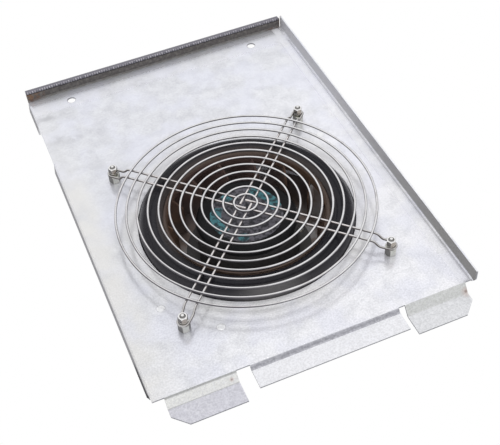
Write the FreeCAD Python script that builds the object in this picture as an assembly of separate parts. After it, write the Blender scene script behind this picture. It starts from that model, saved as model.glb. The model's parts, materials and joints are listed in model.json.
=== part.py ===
"""Centrifugal fan on a galvanised cover plate, with a wire guard over its inlet.

Millimetres. The origin is on the fan's axis at the plate's top face, +Z points up
to the guard, and +Y points to the plate's flanged back edge. The motor hangs from
a bracket that runs under the plate along the front-left to back-right diagonal.
"""
import FreeCAD
import Part
import math
import os

Vec = FreeCAD.Vector
ORIGIN = Vec(0, 0, 0)
UP = Vec(0, 0, 1)

# Cover plate
sheet = 1.5
bend_inner = 1.0
plate_width = 300.0
front_reach = 158.0
back_reach = 257.5
opening_r = 104.0
fixing_hole_r = 4.5
fixing_hole_spacing = 212.0
fixing_hole_inset = 17.9

# Plate edges
right_flange_h = 15.0
right_flange_overhang = 4.3
right_flange_corner_r = 8.0
back_flange_h = 11.5
corner_relief = 0.5
left_flange_h = 13.0
left_flange_splay = 1.2
left_flange_setback = 4.0
left_flange_chamfer = 12.0
left_notch_start = 150.0
left_notch_length = 65.0

# Front tabs
side_tab_drop = 8.0
side_tab_slope_run = 6.0
side_tab_reach = 27.0
side_tab_chamfer = 12.5
left_tab_inset = 10.5
left_tab_width = 63.5
right_tab_inset = 7.5
right_tab_width = 60.0
middle_tab_width = 140.0
middle_tab_centre_x = 6.5
middle_tab_drop = 3.5
middle_tab_slope_run = 2.0
middle_tab_reach = 22.0
tab_root = 8.0
tab_lead_in = 1.0
tab_bend = 2.0

# Edge trim on the back flange
trim_wall = 1.7
trim_depth = 8.5
trim_grip = 0.05
trim_bend = 0.3
trim_short = 1.5

# Inlet nozzle
nozzle_sheet = 1.2
lip_r = 13.7
lip_gap = 0.65
mouth_turn = 42.0
mouth_run = 0.8
nozzle_flange_side = 250.0
nozzle_flange_corner_r = 25.0

# Wire guard
wire_r = 1.1
ring_count = 12
first_ring_r = 11.0
ring_pitch = 10.15
weld_depth = 0.2
arm_half_gap = 5.0
arm_lift = 4.9
arm_bend_r = 5.0
arm_bend_start = 2.4
arm_bend_angle = 45.0
arm_end_gap = 1.8

# Guard stand-offs
guard_square = 200.0
spacer_h = 9.0
spacer_flats = 10.0
m5_r = 2.5
m5_hole_r = 2.75
m5_nut_flats = 8.0
m5_nut_h = 4.0
m5_washer_r = 5.5
m5_washer_h = 1.0
spacer_tail = 9.0
cap_thread_depth = 4.8
cap_dome_h = 2.2
cap_dome_inset = 0.3
thread_gap = 0.05

# Clinch studs that carry the motor bracket
m4_r = 2.0
m4_nut_flats = 7.0
m4_nut_h = 3.2
m4_washer_r = 4.5
m4_washer_h = 0.8
m4_hole_r = 2.25
clinch_head_r = 4.0
clinch_head_h = 1.0
stud_leg_gap = 6.5
stud_half_span = 29.0
stud_tail = 11.5

# Motor bracket
bracket_sheet = 2.5
bracket_bend = 2.0
bracket_leg = 118.0
bracket_leg_width = 50.0
foot_width = 76.0
foot_edge = 7.0
foot_nut_gap = 0.7
base_depth = 92.0
diagonal_angle = 45.0

# Motor
stator_flange_r = 42.0
stator_flange_h = 10.0
motor_screw_circle_r = 26.0
motor_screw_bite = 7.0
motor_screw_head_r = 4.0
bearing_r = 11.0
bearing_h = 7.0
bearing_shoulder = 1.5
bearing_seat_gap = 0.02
bearing_running_gap = 0.03
bearing_tube_wall = 2.5
lower_seat_rise = 5.0
shaft_r = 4.0
shaft_tail = 4.0
circlip_r = 6.0
circlip_h = 1.0
circlip_groove = 0.4
circlip_gap = 4.0
axial_play = 0.3
stack_h = 40.0
stator_r = 36.6
air_gap = 0.4
slot_count = 12
slot_width = 5.0
slot_mouth = 2.0
slot_inner_r = 19.0
slot_outer_r = 33.0
slot_liner = 0.3
winding_overhang = 9.0

# Rotor
rotor_lift = 10.0
can_r = 49.5
can_wall = 2.0
can_h = 82.8
can_shoulder_r = 8.0
rotor_flange_r = 62.0
rotor_flange_h = 2.0
hub_r = 6.0
hub_h = 11.5
label_r = 35.0
label_h = 0.2

# Cable outlet in the stator flange
cable_r = 1.6
grommet_r = 2.6
grommet_lip_r = 3.2
grommet_lip_h = 2.0
grommet_depth = 8.0
cable_turn_r = 22.0

# Impeller
impeller_r = 112.5
impeller_sheet = 1.5
impeller_lift = 40.5
impeller_bore_gap = 0.3
blade_count = 14
blade_start = 135.0
blade_inner_r = 68.0
blade_rim_inset = 1.0
blade_inlet_angle = 46.0
blade_outlet_angle = 50.0
eye_gap = 1.2
rim_width = 3.4
rim_bend_r = 1.5
rim_drop = 3.0
collar_h = 7.0
flare_r = 14.0
flare_angle = 72.0
leading_edge_drop = 30.0
leading_edge_inset = 6.0
rivet_count = 6
rivet_r = 1.6
rivet_head_r = 3.0
rivet_head_h = 1.4

# Levels and places that follow from the sizes above
plate_half = plate_width / 2
plate_bottom = -sheet
nozzle_bottom = plate_bottom - nozzle_sheet
foot_bottom = nozzle_bottom - bracket_sheet
base_top = -base_depth
base_bottom = base_top - bracket_sheet
stator_flange_top = base_top + stator_flange_h
backplate_bottom = base_top + impeller_lift
backplate_top = backplate_bottom + impeller_sheet
flange_top = backplate_top + rotor_flange_h
can_bottom = base_top + rotor_lift
cable_level = (base_top + can_bottom) / 2
can_top = can_bottom + can_h
can_ceiling = can_top - can_wall
hub_bottom = can_ceiling - hub_h
tube_top = hub_bottom - axial_play
tube_r = bearing_r + bearing_seat_gap + bearing_tube_wall
lower_bearing_top = stator_flange_top + lower_seat_rise
lower_bearing_bottom = lower_bearing_top - bearing_h
stack_middle = (stator_flange_top + can_ceiling) / 2
lip_outer_r = opening_r - lip_gap
lip_crest = nozzle_bottom + lip_r
mouth_tangent = lip_r * math.tan(math.radians(mouth_turn) / 2)
mouth_corner_r = lip_outer_r - lip_r - mouth_tangent
mouth_r = mouth_corner_r - (mouth_tangent + mouth_run) * math.cos(math.radians(mouth_turn))
mouth_z = lip_crest - (mouth_tangent + mouth_run) * math.sin(math.radians(mouth_turn))
rim_r = mouth_r - eye_gap
collar_r = rim_r - rim_width
collar_top = lip_crest - rim_drop
collar_bottom = collar_top - collar_h
stud_diagonal = bracket_leg + bracket_sheet + bracket_bend + stud_leg_gap
foot_end = stud_diagonal + foot_edge
guard_diagonal = guard_square / math.sqrt(2)
last_ring_r = first_ring_r + ring_pitch * (ring_count - 1)
eye_z = spacer_h + wire_r
arm_z = eye_z + arm_lift
ring_z = arm_z + 2 * wire_r - weld_depth
washer_z = spacer_h + 2 * wire_r
cap_z = washer_z + m5_washer_h
guard_corners = [
    Vec(side_x * guard_square / 2, side_y * guard_square / 2, 0)
    for side_x in (-1, 1)
    for side_y in (-1, 1)
]
overcut = 1.0


def turned(shape, degrees):
    """Copy of a shape, turned about the fan's axis."""
    copy = shape.copy()
    copy.rotate(ORIGIN, UP, degrees)
    return copy


def ring_of(shape, count):
    """Copies of a shape, spaced evenly round the fan's axis."""
    return [turned(shape, 360.0 * index / count) for index in range(count)]


def placed(shape, points):
    """Copies of a shape, one moved to each point."""
    copies = []
    for point in points:
        copy = shape.copy()
        copy.translate(point)
        copies.append(copy)
    return copies


def cylinder(radius, bottom, top, centre=ORIGIN):
    """Upright cylinder between two levels."""
    return Part.makeCylinder(radius, top - bottom, Vec(centre.x, centre.y, bottom))


def tube(inner, outer, bottom, top):
    """Upright tube between two levels on the fan's axis."""
    return cylinder(outer, bottom, top).cut(cylinder(inner, bottom - overcut, top + overcut))


def block(low, high):
    """Box between two opposite corners."""
    size = high - low
    return Part.makeBox(size.x, size.y, size.z, low)


def hexagon(flats, bottom, top):
    """Hexagonal prism on the fan's axis, by its width across flats."""
    corner_r = flats / math.sqrt(3)
    corners = []
    for index in range(7):
        angle = math.radians(60 * index)
        corners.append(Vec(corner_r * math.cos(angle), corner_r * math.sin(angle), bottom))
    return Part.Face(Part.makePolygon(corners)).extrude(Vec(0, 0, top - bottom))


def dome(radius, seat, rise):
    """Spherical cap on a level of the fan's axis, rising up or down from it."""
    ball_r = (radius**2 + rise**2) / (2 * abs(rise))
    centre_z = seat + rise - math.copysign(ball_r, rise)
    ball = Part.makeSphere(ball_r, Vec(0, 0, centre_z))
    reach = 2 * ball_r
    far = seat + math.copysign(reach, rise)
    keep = block(Vec(-reach, -reach, min(seat, far)), Vec(reach, reach, max(seat, far)))
    return ball.common(keep)


def corner_arc(previous, vertex, following, radius):
    """Points where the tangent arc of a corner starts, peaks and ends."""
    back = (previous - vertex).normalize()
    ahead = (following - vertex).normalize()
    half = back.getAngle(ahead) / 2
    reach = radius / math.tan(half)
    bisector = (back + ahead).normalize()
    peak = radius / math.sin(half) - radius
    return vertex + back * reach, vertex + bisector * peak, vertex + ahead * reach


def rounded_wire(points, radii, closed):
    """Wire through points, with a tangent arc at each corner that has a radius."""
    count = len(points)
    arcs = []
    for index, vertex in enumerate(points):
        if radii[index] > 0:
            following = points[(index + 1) % count]
            arcs.append(corner_arc(points[index - 1], vertex, following, radii[index]))
        else:
            arcs.append((vertex, vertex, vertex))
    edges = []
    for index in range(count):
        first, middle, last = arcs[index]
        if radii[index] > 0:
            edges.append(Part.Arc(first, middle, last).toShape())
        goal = arcs[(index + 1) % count][0]
        if (closed or index < count - 1) and last.distanceToPoint(goal) > 1e-6:
            edges.append(Part.LineSegment(last, goal).toShape())
    return Part.Wire(edges)


def sheet_profile(path, thickness, inner_radii):
    """Face of bent sheet in the XZ plane, with its second skin to the right of the path.

    The path holds (across, height) pairs, and inner_radii one bend radius per corner.
    """
    skin = [Vec(across, 0, height) for across, height in path]
    runs = [(after - before).normalize() for before, after in zip(skin, skin[1:])]
    normals = [Vec(run.z, 0, -run.x) for run in runs]
    second = [skin[0] + normals[0] * thickness]
    skin_radii = [0.0]
    second_radii = [0.0]
    for index, radius in enumerate(inner_radii):
        before, after = normals[index], normals[index + 1]
        mitre = (before + after) * (thickness / (1 + before.dot(after)))
        second.append(skin[index + 1] + mitre)
        turn = runs[index].x * runs[index + 1].z - runs[index].z * runs[index + 1].x
        skin_radii.append(radius if turn > 0 else radius + thickness)
        second_radii.append(radius + thickness if turn > 0 else radius)
    second.append(skin[-1] + normals[-1] * thickness)
    skin_radii.append(0.0)
    second_radii.append(0.0)
    outline = skin + second[::-1]
    return Part.Face(rounded_wire(outline, skin_radii + second_radii[::-1], True))


def along_y(face, start, end):
    """Profile drawn across X, extruded along Y."""
    moved = face.copy()
    moved.translate(Vec(0, start, 0))
    return moved.extrude(Vec(0, end - start, 0))


def along_x(face, start, end):
    """Profile drawn across Y, extruded along X."""
    moved = turned(face, 90)
    moved.translate(Vec(start, 0, 0))
    return moved.extrude(Vec(end - start, 0, 0))


def revolved(face):
    """Solid of revolution of an XZ profile about the fan's axis."""
    return face.revolve(ORIGIN, UP, 360)


def stud_places():
    """Centres of the four clinch studs, two at each end of the bracket."""
    places = []
    for end in (-1, 1):
        for side in (-1, 1):
            spot = Vec(end * stud_diagonal, side * stud_half_span, 0)
            places.append(FreeCAD.Rotation(UP, diagonal_angle).multVec(spot))
    return places


def front_tab(drop, slope_run, reach, left, right):
    """Joggled tab at the plate's front edge between two places along X."""
    front = -front_reach
    path = [
        (front - reach, -drop),
        (front - tab_lead_in - slope_run, -drop),
        (front - tab_lead_in, 0),
        (front + tab_root, 0),
    ]
    return along_x(sheet_profile(path, sheet, [tab_bend, tab_bend]), left, right)


def side_tab(left, right, outer):
    """Deep front tab with its outer front corner cut off."""
    tip = -front_reach - side_tab_reach
    inward = 1 if outer == left else -1
    cut = [
        Vec(outer - inward * overcut, tip - overcut, 0),
        Vec(outer + inward * side_tab_chamfer, tip - overcut, 0),
        Vec(outer + inward * side_tab_chamfer, tip, 0),
        Vec(outer, tip + side_tab_chamfer, 0),
        Vec(outer - inward * overcut, tip + side_tab_chamfer, 0),
    ]
    depth = side_tab_drop + sheet + overcut
    corner = Part.Face(Part.makePolygon(cut + cut[:1])).extrude(Vec(0, 0, -depth))
    return front_tab(side_tab_drop, side_tab_slope_run, side_tab_reach, left, right).cut(corner)


def right_flange():
    """Upturned flange along the right edge, with its front lower corner rounded off."""
    root = plate_half - tab_root
    path = [(root, 0), (plate_half, 0), (plate_half, right_flange_h)]
    front = -front_reach - right_flange_overhang
    flange = along_y(sheet_profile(path, sheet, [bend_inner]), front, back_reach - corner_relief)
    inner = plate_half - bend_inner - overcut
    notch_low = Vec(root - overcut, front - overcut, plate_bottom - overcut)
    notch = block(notch_low, Vec(plate_half - bend_inner, -front_reach, overcut))
    sweep = math.acos(1 - right_flange_overhang / right_flange_corner_r)
    foot = Vec(inner, -front_reach, plate_bottom)
    top = Vec(inner, front, plate_bottom + right_flange_corner_r * math.sin(sweep))
    centre = top + Vec(0, right_flange_corner_r, 0)
    middle = centre - Vec(0, math.cos(sweep / 2), math.sin(sweep / 2)) * right_flange_corner_r
    corner = Vec(inner, front, plate_bottom)
    edges = [
        Part.Arc(top, middle, foot).toShape(),
        Part.LineSegment(foot, corner).toShape(),
        Part.LineSegment(corner, top).toShape(),
    ]
    rounding = Part.Face(Part.Wire(edges)).extrude(Vec(plate_half + sheet + overcut - inner, 0, 0))
    return flange.cut([notch, rounding])


def left_runs():
    """Start and end along Y of the left flange's two runs, with a notch between them."""
    notch_end = left_notch_start + left_notch_length
    return [
        (left_flange_setback - front_reach, left_notch_start),
        (notch_end, back_reach - corner_relief),
    ]


def left_bend_strips():
    """Strips of the flat sheet's left edge that give way to the flange's bend."""
    strips = []
    for start, end in left_runs():
        low = Vec(-plate_half - overcut, start, plate_bottom - overcut)
        strips.append(block(low, Vec(-plate_half + bend_inner + sheet, end, overcut)))
    return strips


def tab_bend_strips(spans):
    """Strips of the flat sheet's front edge that give way to the tabs' bends."""
    strips = []
    for left, right in spans:
        low = Vec(left, -front_reach - overcut, plate_bottom - overcut)
        strips.append(block(low, Vec(right, -front_reach + tab_root, overcut)))
    return strips


def left_flanges():
    """Downturned flange along the left edge, splayed a little, with its front end cut on a slant."""
    path = [
        (-plate_half - left_flange_splay, -left_flange_h),
        (-plate_half, 0),
        (-plate_half + tab_root, 0),
    ]
    profile = sheet_profile(path, sheet, [bend_inner])
    runs = [along_y(profile, start, end) for start, end in left_runs()]
    front = left_flange_setback - front_reach
    outer = -plate_half - left_flange_splay - sheet - overcut
    bend_foot = plate_bottom - bend_inner
    slant = [
        Vec(outer, front - overcut, bend_foot),
        Vec(outer, front, bend_foot),
        Vec(outer, front + left_flange_chamfer, bend_foot - left_flange_chamfer),
        Vec(outer, front - overcut, bend_foot - left_flange_chamfer),
    ]
    wedge = Part.Face(Part.makePolygon(slant + slant[:1])).extrude(Vec(tab_root, 0, 0))
    return [runs[0].cut(wedge), runs[1]]


def mounting_plate():
    """Cover plate: flat sheet with its flanges, front tabs, opening and holes."""
    flat = block(
        Vec(-plate_half, -front_reach, plate_bottom),
        Vec(plate_half - bend_inner, back_reach - bend_inner, 0),
    )
    back_path = [(back_reach - tab_root, 0), (back_reach, 0), (back_reach, back_flange_h)]
    back = along_x(
        sheet_profile(back_path, sheet, [bend_inner]),
        -plate_half,
        plate_half - corner_relief,
    )
    left_outer = -plate_half + left_tab_inset
    right_outer = plate_half - right_tab_inset
    middle_left = middle_tab_centre_x - middle_tab_width / 2
    left_inner = left_outer + left_tab_width
    right_inner = right_outer - right_tab_width
    middle_right = middle_left + middle_tab_width
    tabs = [
        side_tab(left_outer, left_inner, left_outer),
        side_tab(right_inner, right_outer, right_outer),
        front_tab(middle_tab_drop, middle_tab_slope_run, middle_tab_reach, middle_left, middle_right),
    ]
    spans = [(left_outer, left_inner), (middle_left, middle_right), (right_inner, right_outer)]
    flat = flat.cut(left_bend_strips() + tab_bend_strips(spans))
    plate = flat.fuse(left_flanges() + [back, right_flange()] + tabs).removeSplitter()
    low = plate_bottom - overcut
    cuts = [cylinder(opening_r, low, overcut)]
    fixing_y = back_reach - fixing_hole_inset
    for side in (-1, 1):
        centre = Vec(side * fixing_hole_spacing / 2, fixing_y, 0)
        cuts.append(cylinder(fixing_hole_r, low, overcut, centre))
    for centre in guard_corners:
        cuts.append(cylinder(m5_hole_r, low, overcut, centre))
    for centre in stud_places():
        cuts.append(cylinder(m4_r + thread_gap, low, overcut, centre))
        cuts.append(cylinder(clinch_head_r + thread_gap, -clinch_head_h, overcut, centre))
    return plate.cut(cuts)


def edge_trim():
    """U-shaped edge trim pushed over the top of the back flange."""
    inner = back_reach - trim_grip
    outer = back_reach + sheet + trim_grip
    crown = back_flange_h + trim_grip
    foot = back_flange_h - trim_depth
    path = [(outer, foot), (outer, crown), (inner, crown), (inner, foot)]
    profile = sheet_profile(path, trim_wall, [trim_bend, trim_bend])
    return along_x(profile, -plate_half, plate_half - corner_relief - trim_short)


def inlet_nozzle():
    """Bell-mouth nozzle: rolled lip, turned in to its mouth, on a square flange under the plate."""
    path = [
        (mouth_r, mouth_z),
        (mouth_corner_r, lip_crest),
        (lip_outer_r, lip_crest),
        (lip_outer_r, nozzle_bottom),
    ]
    bend = lip_r - nozzle_sheet
    mouth = revolved(sheet_profile(path, nozzle_sheet, [bend, bend]))
    half = nozzle_flange_side / 2
    corners = [Vec(-half, -half), Vec(half, -half), Vec(half, half), Vec(-half, half)]
    outline = rounded_wire(corners, [nozzle_flange_corner_r] * 4, True)
    flange = Part.Face(outline).extrude(Vec(0, 0, nozzle_sheet))
    flange.translate(Vec(0, 0, nozzle_bottom))
    low = nozzle_bottom - overcut
    holes = [cylinder(lip_outer_r - nozzle_sheet, low, overcut)]
    for centre in guard_corners:
        holes.append(cylinder(m5_hole_r, low, overcut, centre))
    for centre in stud_places():
        holes.append(cylinder(m4_hole_r, low, overcut, centre))
    return mouth.fuse(flange.cut(holes)).removeSplitter()


def guard_rings():
    """Concentric wire rings of the guard."""
    rings = []
    for index in range(ring_count):
        radius = first_ring_r + index * ring_pitch
        rings.append(Part.makeTorus(radius, wire_r, Vec(0, 0, ring_z)))
    return Part.makeCompound(rings)


def guard_arm():
    """Hairpin wire along +X: two legs under the rings, bent down to an eye at the stud."""
    slope = math.tan(math.radians(arm_bend_angle))
    bend_start = last_ring_r + arm_bend_start
    bend_reach = arm_bend_r * math.tan(math.radians(arm_bend_angle / 2))
    crest = bend_start + bend_reach
    foot = crest + arm_lift / slope
    far = guard_diagonal + arm_half_gap
    long_end = -(arm_half_gap - wire_r - arm_end_gap)
    short_end = math.sqrt(first_ring_r**2 - arm_half_gap**2)
    points = [
        Vec(long_end, arm_half_gap, arm_z),
        Vec(crest, arm_half_gap, arm_z),
        Vec(foot, arm_half_gap, eye_z),
        Vec(far, arm_half_gap, eye_z),
        Vec(far, -arm_half_gap, eye_z),
        Vec(foot, -arm_half_gap, eye_z),
        Vec(crest, -arm_half_gap, arm_z),
        Vec(short_end, -arm_half_gap, arm_z),
    ]
    radii = [0.0, arm_bend_r, arm_bend_r, arm_half_gap, arm_half_gap, arm_bend_r, arm_bend_r, 0.0]
    path = rounded_wire(points, radii, False)
    section = Part.Wire(Part.makeCircle(wire_r, points[0], Vec(1, 0, 0)))
    return path.makePipeShell([section], True, False)


def guard_arms():
    """The guard's four hairpin arms, one to each stand-off."""
    arm = turned(guard_arm(), diagonal_angle)
    return Part.makeCompound(ring_of(arm, len(guard_corners)))


def guard_spacers():
    """Hexagonal stand-offs with a threaded end above and below."""
    body = hexagon(spacer_flats, 0, spacer_h)
    upper_end = cap_z + cap_thread_depth - thread_gap
    stud = cylinder(m5_r, -spacer_tail, upper_end)
    return Part.makeCompound(placed(body.fuse(stud).removeSplitter(), guard_corners))


def guard_washers():
    """Plain washers on top of the guard's wire eyes."""
    washer = tube(m5_hole_r, m5_washer_r, washer_z, cap_z)
    return Part.makeCompound(placed(washer, guard_corners))


def guard_cap_nuts():
    """Domed cap nuts that clamp the guard's eyes."""
    hex_top = cap_z + m5_nut_h
    dome_r = m5_nut_flats / 2 - cap_dome_inset
    bore = cylinder(m5_r + thread_gap, cap_z - overcut, cap_z + cap_thread_depth)
    nut = hexagon(m5_nut_flats, cap_z, hex_top).fuse(dome(dome_r, hex_top, cap_dome_h)).cut(bore)
    return Part.makeCompound(placed(nut, guard_corners))


def spacer_nuts():
    """Nuts under the nozzle's flange, on the stand-offs' lower ends."""
    nut = hexagon(m5_nut_flats, nozzle_bottom - m5_nut_h, nozzle_bottom)
    bore = cylinder(m5_r + thread_gap, nozzle_bottom - m5_nut_h - overcut, overcut)
    return Part.makeCompound(placed(nut.cut(bore), guard_corners))


def clinch_studs():
    """Studs pressed flush into the plate, pointing down to the bracket's feet."""
    head = cylinder(clinch_head_r, -clinch_head_h, 0)
    stud = head.fuse(cylinder(m4_r, -stud_tail, 0)).removeSplitter()
    return Part.makeCompound(placed(stud, stud_places()))


def bracket_washers():
    """Washers under the bracket's feet."""
    washer = tube(m4_hole_r, m4_washer_r, foot_bottom - m4_washer_h, foot_bottom)
    return Part.makeCompound(placed(washer, stud_places()))


def bracket_nuts():
    """Nuts that hold the bracket's feet on the clinch studs."""
    top = foot_bottom - m4_washer_h
    nut = hexagon(m4_nut_flats, top - m4_nut_h, top)
    bore = cylinder(m4_r + thread_gap, top - m4_nut_h - overcut, top + overcut)
    return Part.makeCompound(placed(nut.cut(bore), stud_places()))


def motor_screw_places():
    """Centres of the four screws between the bracket and the motor."""
    places = []
    for index in range(4):
        angle = math.radians(90 * index)
        places.append(Vec(math.cos(angle), math.sin(angle), 0) * motor_screw_circle_r)
    return places


def screw_head(radius, shank_r):
    """Countersunk cone with its wide face flush with the bracket's underside."""
    return Part.makeCone(radius, shank_r, radius - shank_r, Vec(0, 0, base_bottom))


def motor_bracket():
    """U-shaped strap along the diagonal, wide at its feet and narrow past the impeller."""
    path = [
        (-foot_end, nozzle_bottom),
        (-bracket_leg, nozzle_bottom),
        (-bracket_leg, base_top),
        (bracket_leg, base_top),
        (bracket_leg, nozzle_bottom),
        (foot_end, nozzle_bottom),
    ]
    strap = along_y(
        sheet_profile(path, bracket_sheet, [bracket_bend] * 4), -foot_width / 2, foot_width / 2
    )
    waist_reach = bracket_leg + bracket_sheet + bracket_bend
    waists = []
    for side in (-1, 1):
        inner = side * bracket_leg_width / 2
        outer = side * (foot_width / 2 + overcut)
        low = Vec(-waist_reach, min(inner, outer), base_bottom - overcut)
        waists.append(block(low, Vec(waist_reach, max(inner, outer), overcut)))
    strap = turned(strap.cut(waists), diagonal_angle)
    cuts = []
    for centre in stud_places():
        cuts.append(cylinder(m4_hole_r, foot_bottom - overcut, overcut, centre))
    nut_room = m5_nut_flats / math.sqrt(3) + foot_nut_gap
    for centre in guard_corners:
        cuts.append(cylinder(nut_room, foot_bottom - overcut, overcut, centre))
    bore = cylinder(m4_hole_r, base_bottom - overcut, base_top + overcut)
    sink = screw_head(motor_screw_head_r + thread_gap, m4_r + thread_gap)
    cuts.extend(placed(bore.fuse(sink), motor_screw_places()))
    return strap.cut(cuts)


def motor_screws():
    """Countersunk screws from the bracket up into the stator flange."""
    shank = cylinder(m4_r, base_bottom, base_top + motor_screw_bite)
    screw = shank.fuse(screw_head(motor_screw_head_r, m4_r)).removeSplitter()
    return Part.makeCompound(placed(screw, motor_screw_places()))


def cable_axis_tool(radius, start, end):
    """Cylinder along the cable outlet, which leaves the stator flange sideways."""
    rod = Part.makeCylinder(radius, end - start, Vec(start, 0, cable_level), Vec(1, 0, 0))
    return turned(rod, -diagonal_angle)


def stator_flange():
    """Motor's fixed flange with the bearing tube that stands inside the stator."""
    disc = cylinder(stator_flange_r, base_top, stator_flange_top)
    post = cylinder(tube_r, base_top, tube_top)
    seat_r = bearing_r + bearing_seat_gap
    cuts = [
        cylinder(seat_r, base_top - overcut, lower_bearing_top),
        cylinder(seat_r - bearing_shoulder, base_top, tube_top),
        cylinder(seat_r, tube_top - bearing_h, tube_top + overcut),
        cable_axis_tool(grommet_r + thread_gap, cable_turn_r, stator_flange_r + overcut),
    ]
    turn = Vec(cable_turn_r, 0, 0)
    riser = cylinder(grommet_r, cable_level, stator_flange_top + overcut, turn)
    cuts.append(turned(riser, -diagonal_angle))
    thread = cylinder(m4_r + thread_gap, base_top - overcut, base_top + motor_screw_bite + overcut)
    cuts.extend(placed(thread, motor_screw_places()))
    return disc.fuse(post).removeSplitter().cut(cuts)


def cable_grommet():
    """Rubber grommet that lines the cable outlet."""
    outer_end = stator_flange_r + grommet_lip_h
    sleeve = cable_axis_tool(grommet_r, stator_flange_r - grommet_depth, outer_end)
    lip = cable_axis_tool(grommet_lip_r, stator_flange_r, outer_end)
    bore = cable_axis_tool(cable_r, cable_turn_r, outer_end + overcut)
    return sleeve.fuse(lip).removeSplitter().cut(bore)


def bearing(top):
    """Ball bearing, as its outer envelope, running on the motor's shaft."""
    return tube(shaft_r + bearing_running_gap, bearing_r, top - bearing_h, top)


def slot_tool(inset, overhang):
    """One winding slot along +X, shrunk by an inset and lengthened past the stack."""
    half = stack_h / 2 + overhang
    low = Vec(slot_inner_r + inset, -slot_width / 2 + inset, stack_middle - half)
    high = Vec(slot_outer_r - inset, slot_width / 2 - inset, stack_middle + half)
    return block(low, high)


def stator_core():
    """Laminated stator core with open slots round its rim."""
    half = stack_h / 2
    core = tube(tube_r, stator_r, stack_middle - half, stack_middle + half)
    mouth = block(
        Vec(slot_outer_r - overcut, -slot_mouth / 2, stack_middle - half - overcut),
        Vec(stator_r + overcut, slot_mouth / 2, stack_middle + half + overcut),
    )
    return core.cut(ring_of(slot_tool(0, overcut).fuse(mouth), slot_count))


def stator_windings():
    """Copper winding: bars in the slots, joined by an end turn at each end."""
    inner = slot_inner_r + slot_liner
    outer = slot_outer_r - slot_liner
    half = stack_h / 2
    start = stack_middle + half + slot_liner
    upper = tube(inner, outer, start, start + winding_overhang)
    crown = [edge for edge in upper.Edges if edge.BoundBox.ZMin > start + winding_overhang / 2]
    upper = upper.makeFillet((outer - inner) / 4, crown)
    lower = upper.mirror(Vec(0, 0, stack_middle), UP)
    bars = ring_of(slot_tool(slot_liner, slot_liner), slot_count)
    return upper.fuse([lower] + bars)


def motor_shaft():
    """Shaft fixed in the rotor's hub, with a groove for its circlip."""
    groove_top = lower_bearing_bottom - axial_play
    shaft = cylinder(shaft_r, groove_top - circlip_h - shaft_tail, can_ceiling)
    groove = tube(shaft_r - circlip_groove, shaft_r + overcut, groove_top - circlip_h, groove_top)
    return shaft.cut(groove)


def shaft_circlip():
    """Retaining ring in the shaft's groove, below the lower bearing."""
    top = lower_bearing_bottom - axial_play
    ring = tube(shaft_r - circlip_groove, circlip_r, top - circlip_h, top)
    gap = block(
        Vec(0, -circlip_gap / 2, top - circlip_h - overcut),
        Vec(circlip_r + overcut, circlip_gap / 2, top + overcut),
    )
    return ring.cut(gap)


def rotor_can():
    """Deep-drawn rotor can with a rounded shoulder and a hub inside."""
    path = [(0, can_top), (can_r, can_top), (can_r, can_bottom)]
    can = revolved(sheet_profile(path, can_wall, [can_shoulder_r - can_wall]))
    hub = tube(shaft_r, hub_r, hub_bottom, can_ceiling)
    return can.fuse(hub).removeSplitter()


def rotor_flange():
    """Flat ring welded round the can, which the impeller is riveted to."""
    ring = tube(can_r, rotor_flange_r, backplate_top, flange_top)
    holes = [
        cylinder(rivet_r, backplate_top - overcut, flange_top + overcut, place)
        for place in rivet_places()
    ]
    return ring.cut(holes)


def rotor_core():
    """Rotor ring of laminations and cage, pressed into the can round the stator."""
    half = stack_h / 2
    return tube(stator_r + air_gap, can_r - can_wall, stack_middle - half, stack_middle + half)


def rotor_label():
    """Bare round label on the rotor's face."""
    return cylinder(label_r, can_top, can_top + label_h)


def rivet_places():
    """Centres of the rivets between the rotor's flange and the impeller."""
    circle_r = (can_r + rotor_flange_r) / 2
    places = []
    for index in range(rivet_count):
        angle = 2 * math.pi * index / rivet_count
        places.append(Vec(math.cos(angle), math.sin(angle), 0) * circle_r)
    return places


def impeller_rivets():
    """Rivets that carry the impeller on the rotor's flange."""
    shank = cylinder(rivet_r, backplate_bottom, flange_top)
    heads = [
        dome(rivet_head_r, flange_top, rivet_head_h),
        dome(rivet_head_r, backplate_bottom, -rivet_head_h),
    ]
    return Part.makeCompound(placed(shank.fuse(heads).removeSplitter(), rivet_places()))


def impeller_backplate():
    """Flat back disc of the impeller."""
    disc = tube(can_r + impeller_bore_gap, impeller_r, backplate_bottom, backplate_top)
    holes = [
        cylinder(rivet_r, backplate_bottom - overcut, backplate_top + overcut, place)
        for place in rivet_places()
    ]
    return disc.cut(holes)


def shroud_path():
    """Air side of the shroud, from its outlet edge up its inlet collar to the collar's rim."""
    turn = math.radians(flare_angle)
    bend_r = flare_r + impeller_sheet
    corner_z = collar_bottom - bend_r * math.tan(turn / 2)
    outlet_z = corner_z - (impeller_r - collar_r) / math.tan(turn)
    return [(impeller_r, outlet_z), (collar_r, corner_z), (collar_r, collar_top), (rim_r, collar_top)]


def impeller_shroud():
    """Flared front ring of the impeller, whose collar has a rounded rim inside the nozzle's mouth."""
    return revolved(sheet_profile(shroud_path(), impeller_sheet, [flare_r, rim_bend_r]))


def shroud_space():
    """Space above the blades: over the shroud's air side and the sloping leading edges."""
    outlet, corner = shroud_path()[:2]
    inner = blade_inner_r - leading_edge_inset
    outer = impeller_r + overcut
    roof = collar_top + overcut
    points = [
        Vec(inner, 0, roof),
        Vec(inner, 0, collar_bottom - leading_edge_drop),
        Vec(collar_r, 0, collar_bottom),
        Vec(corner[0], 0, corner[1]),
        Vec(outlet[0], 0, outlet[1]),
        Vec(outer, 0, outlet[1]),
        Vec(outer, 0, roof),
    ]
    radii = [0.0] * len(points)
    radii[3] = flare_r + impeller_sheet
    return revolved(Part.Face(rounded_wire(points, radii, True)))


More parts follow.
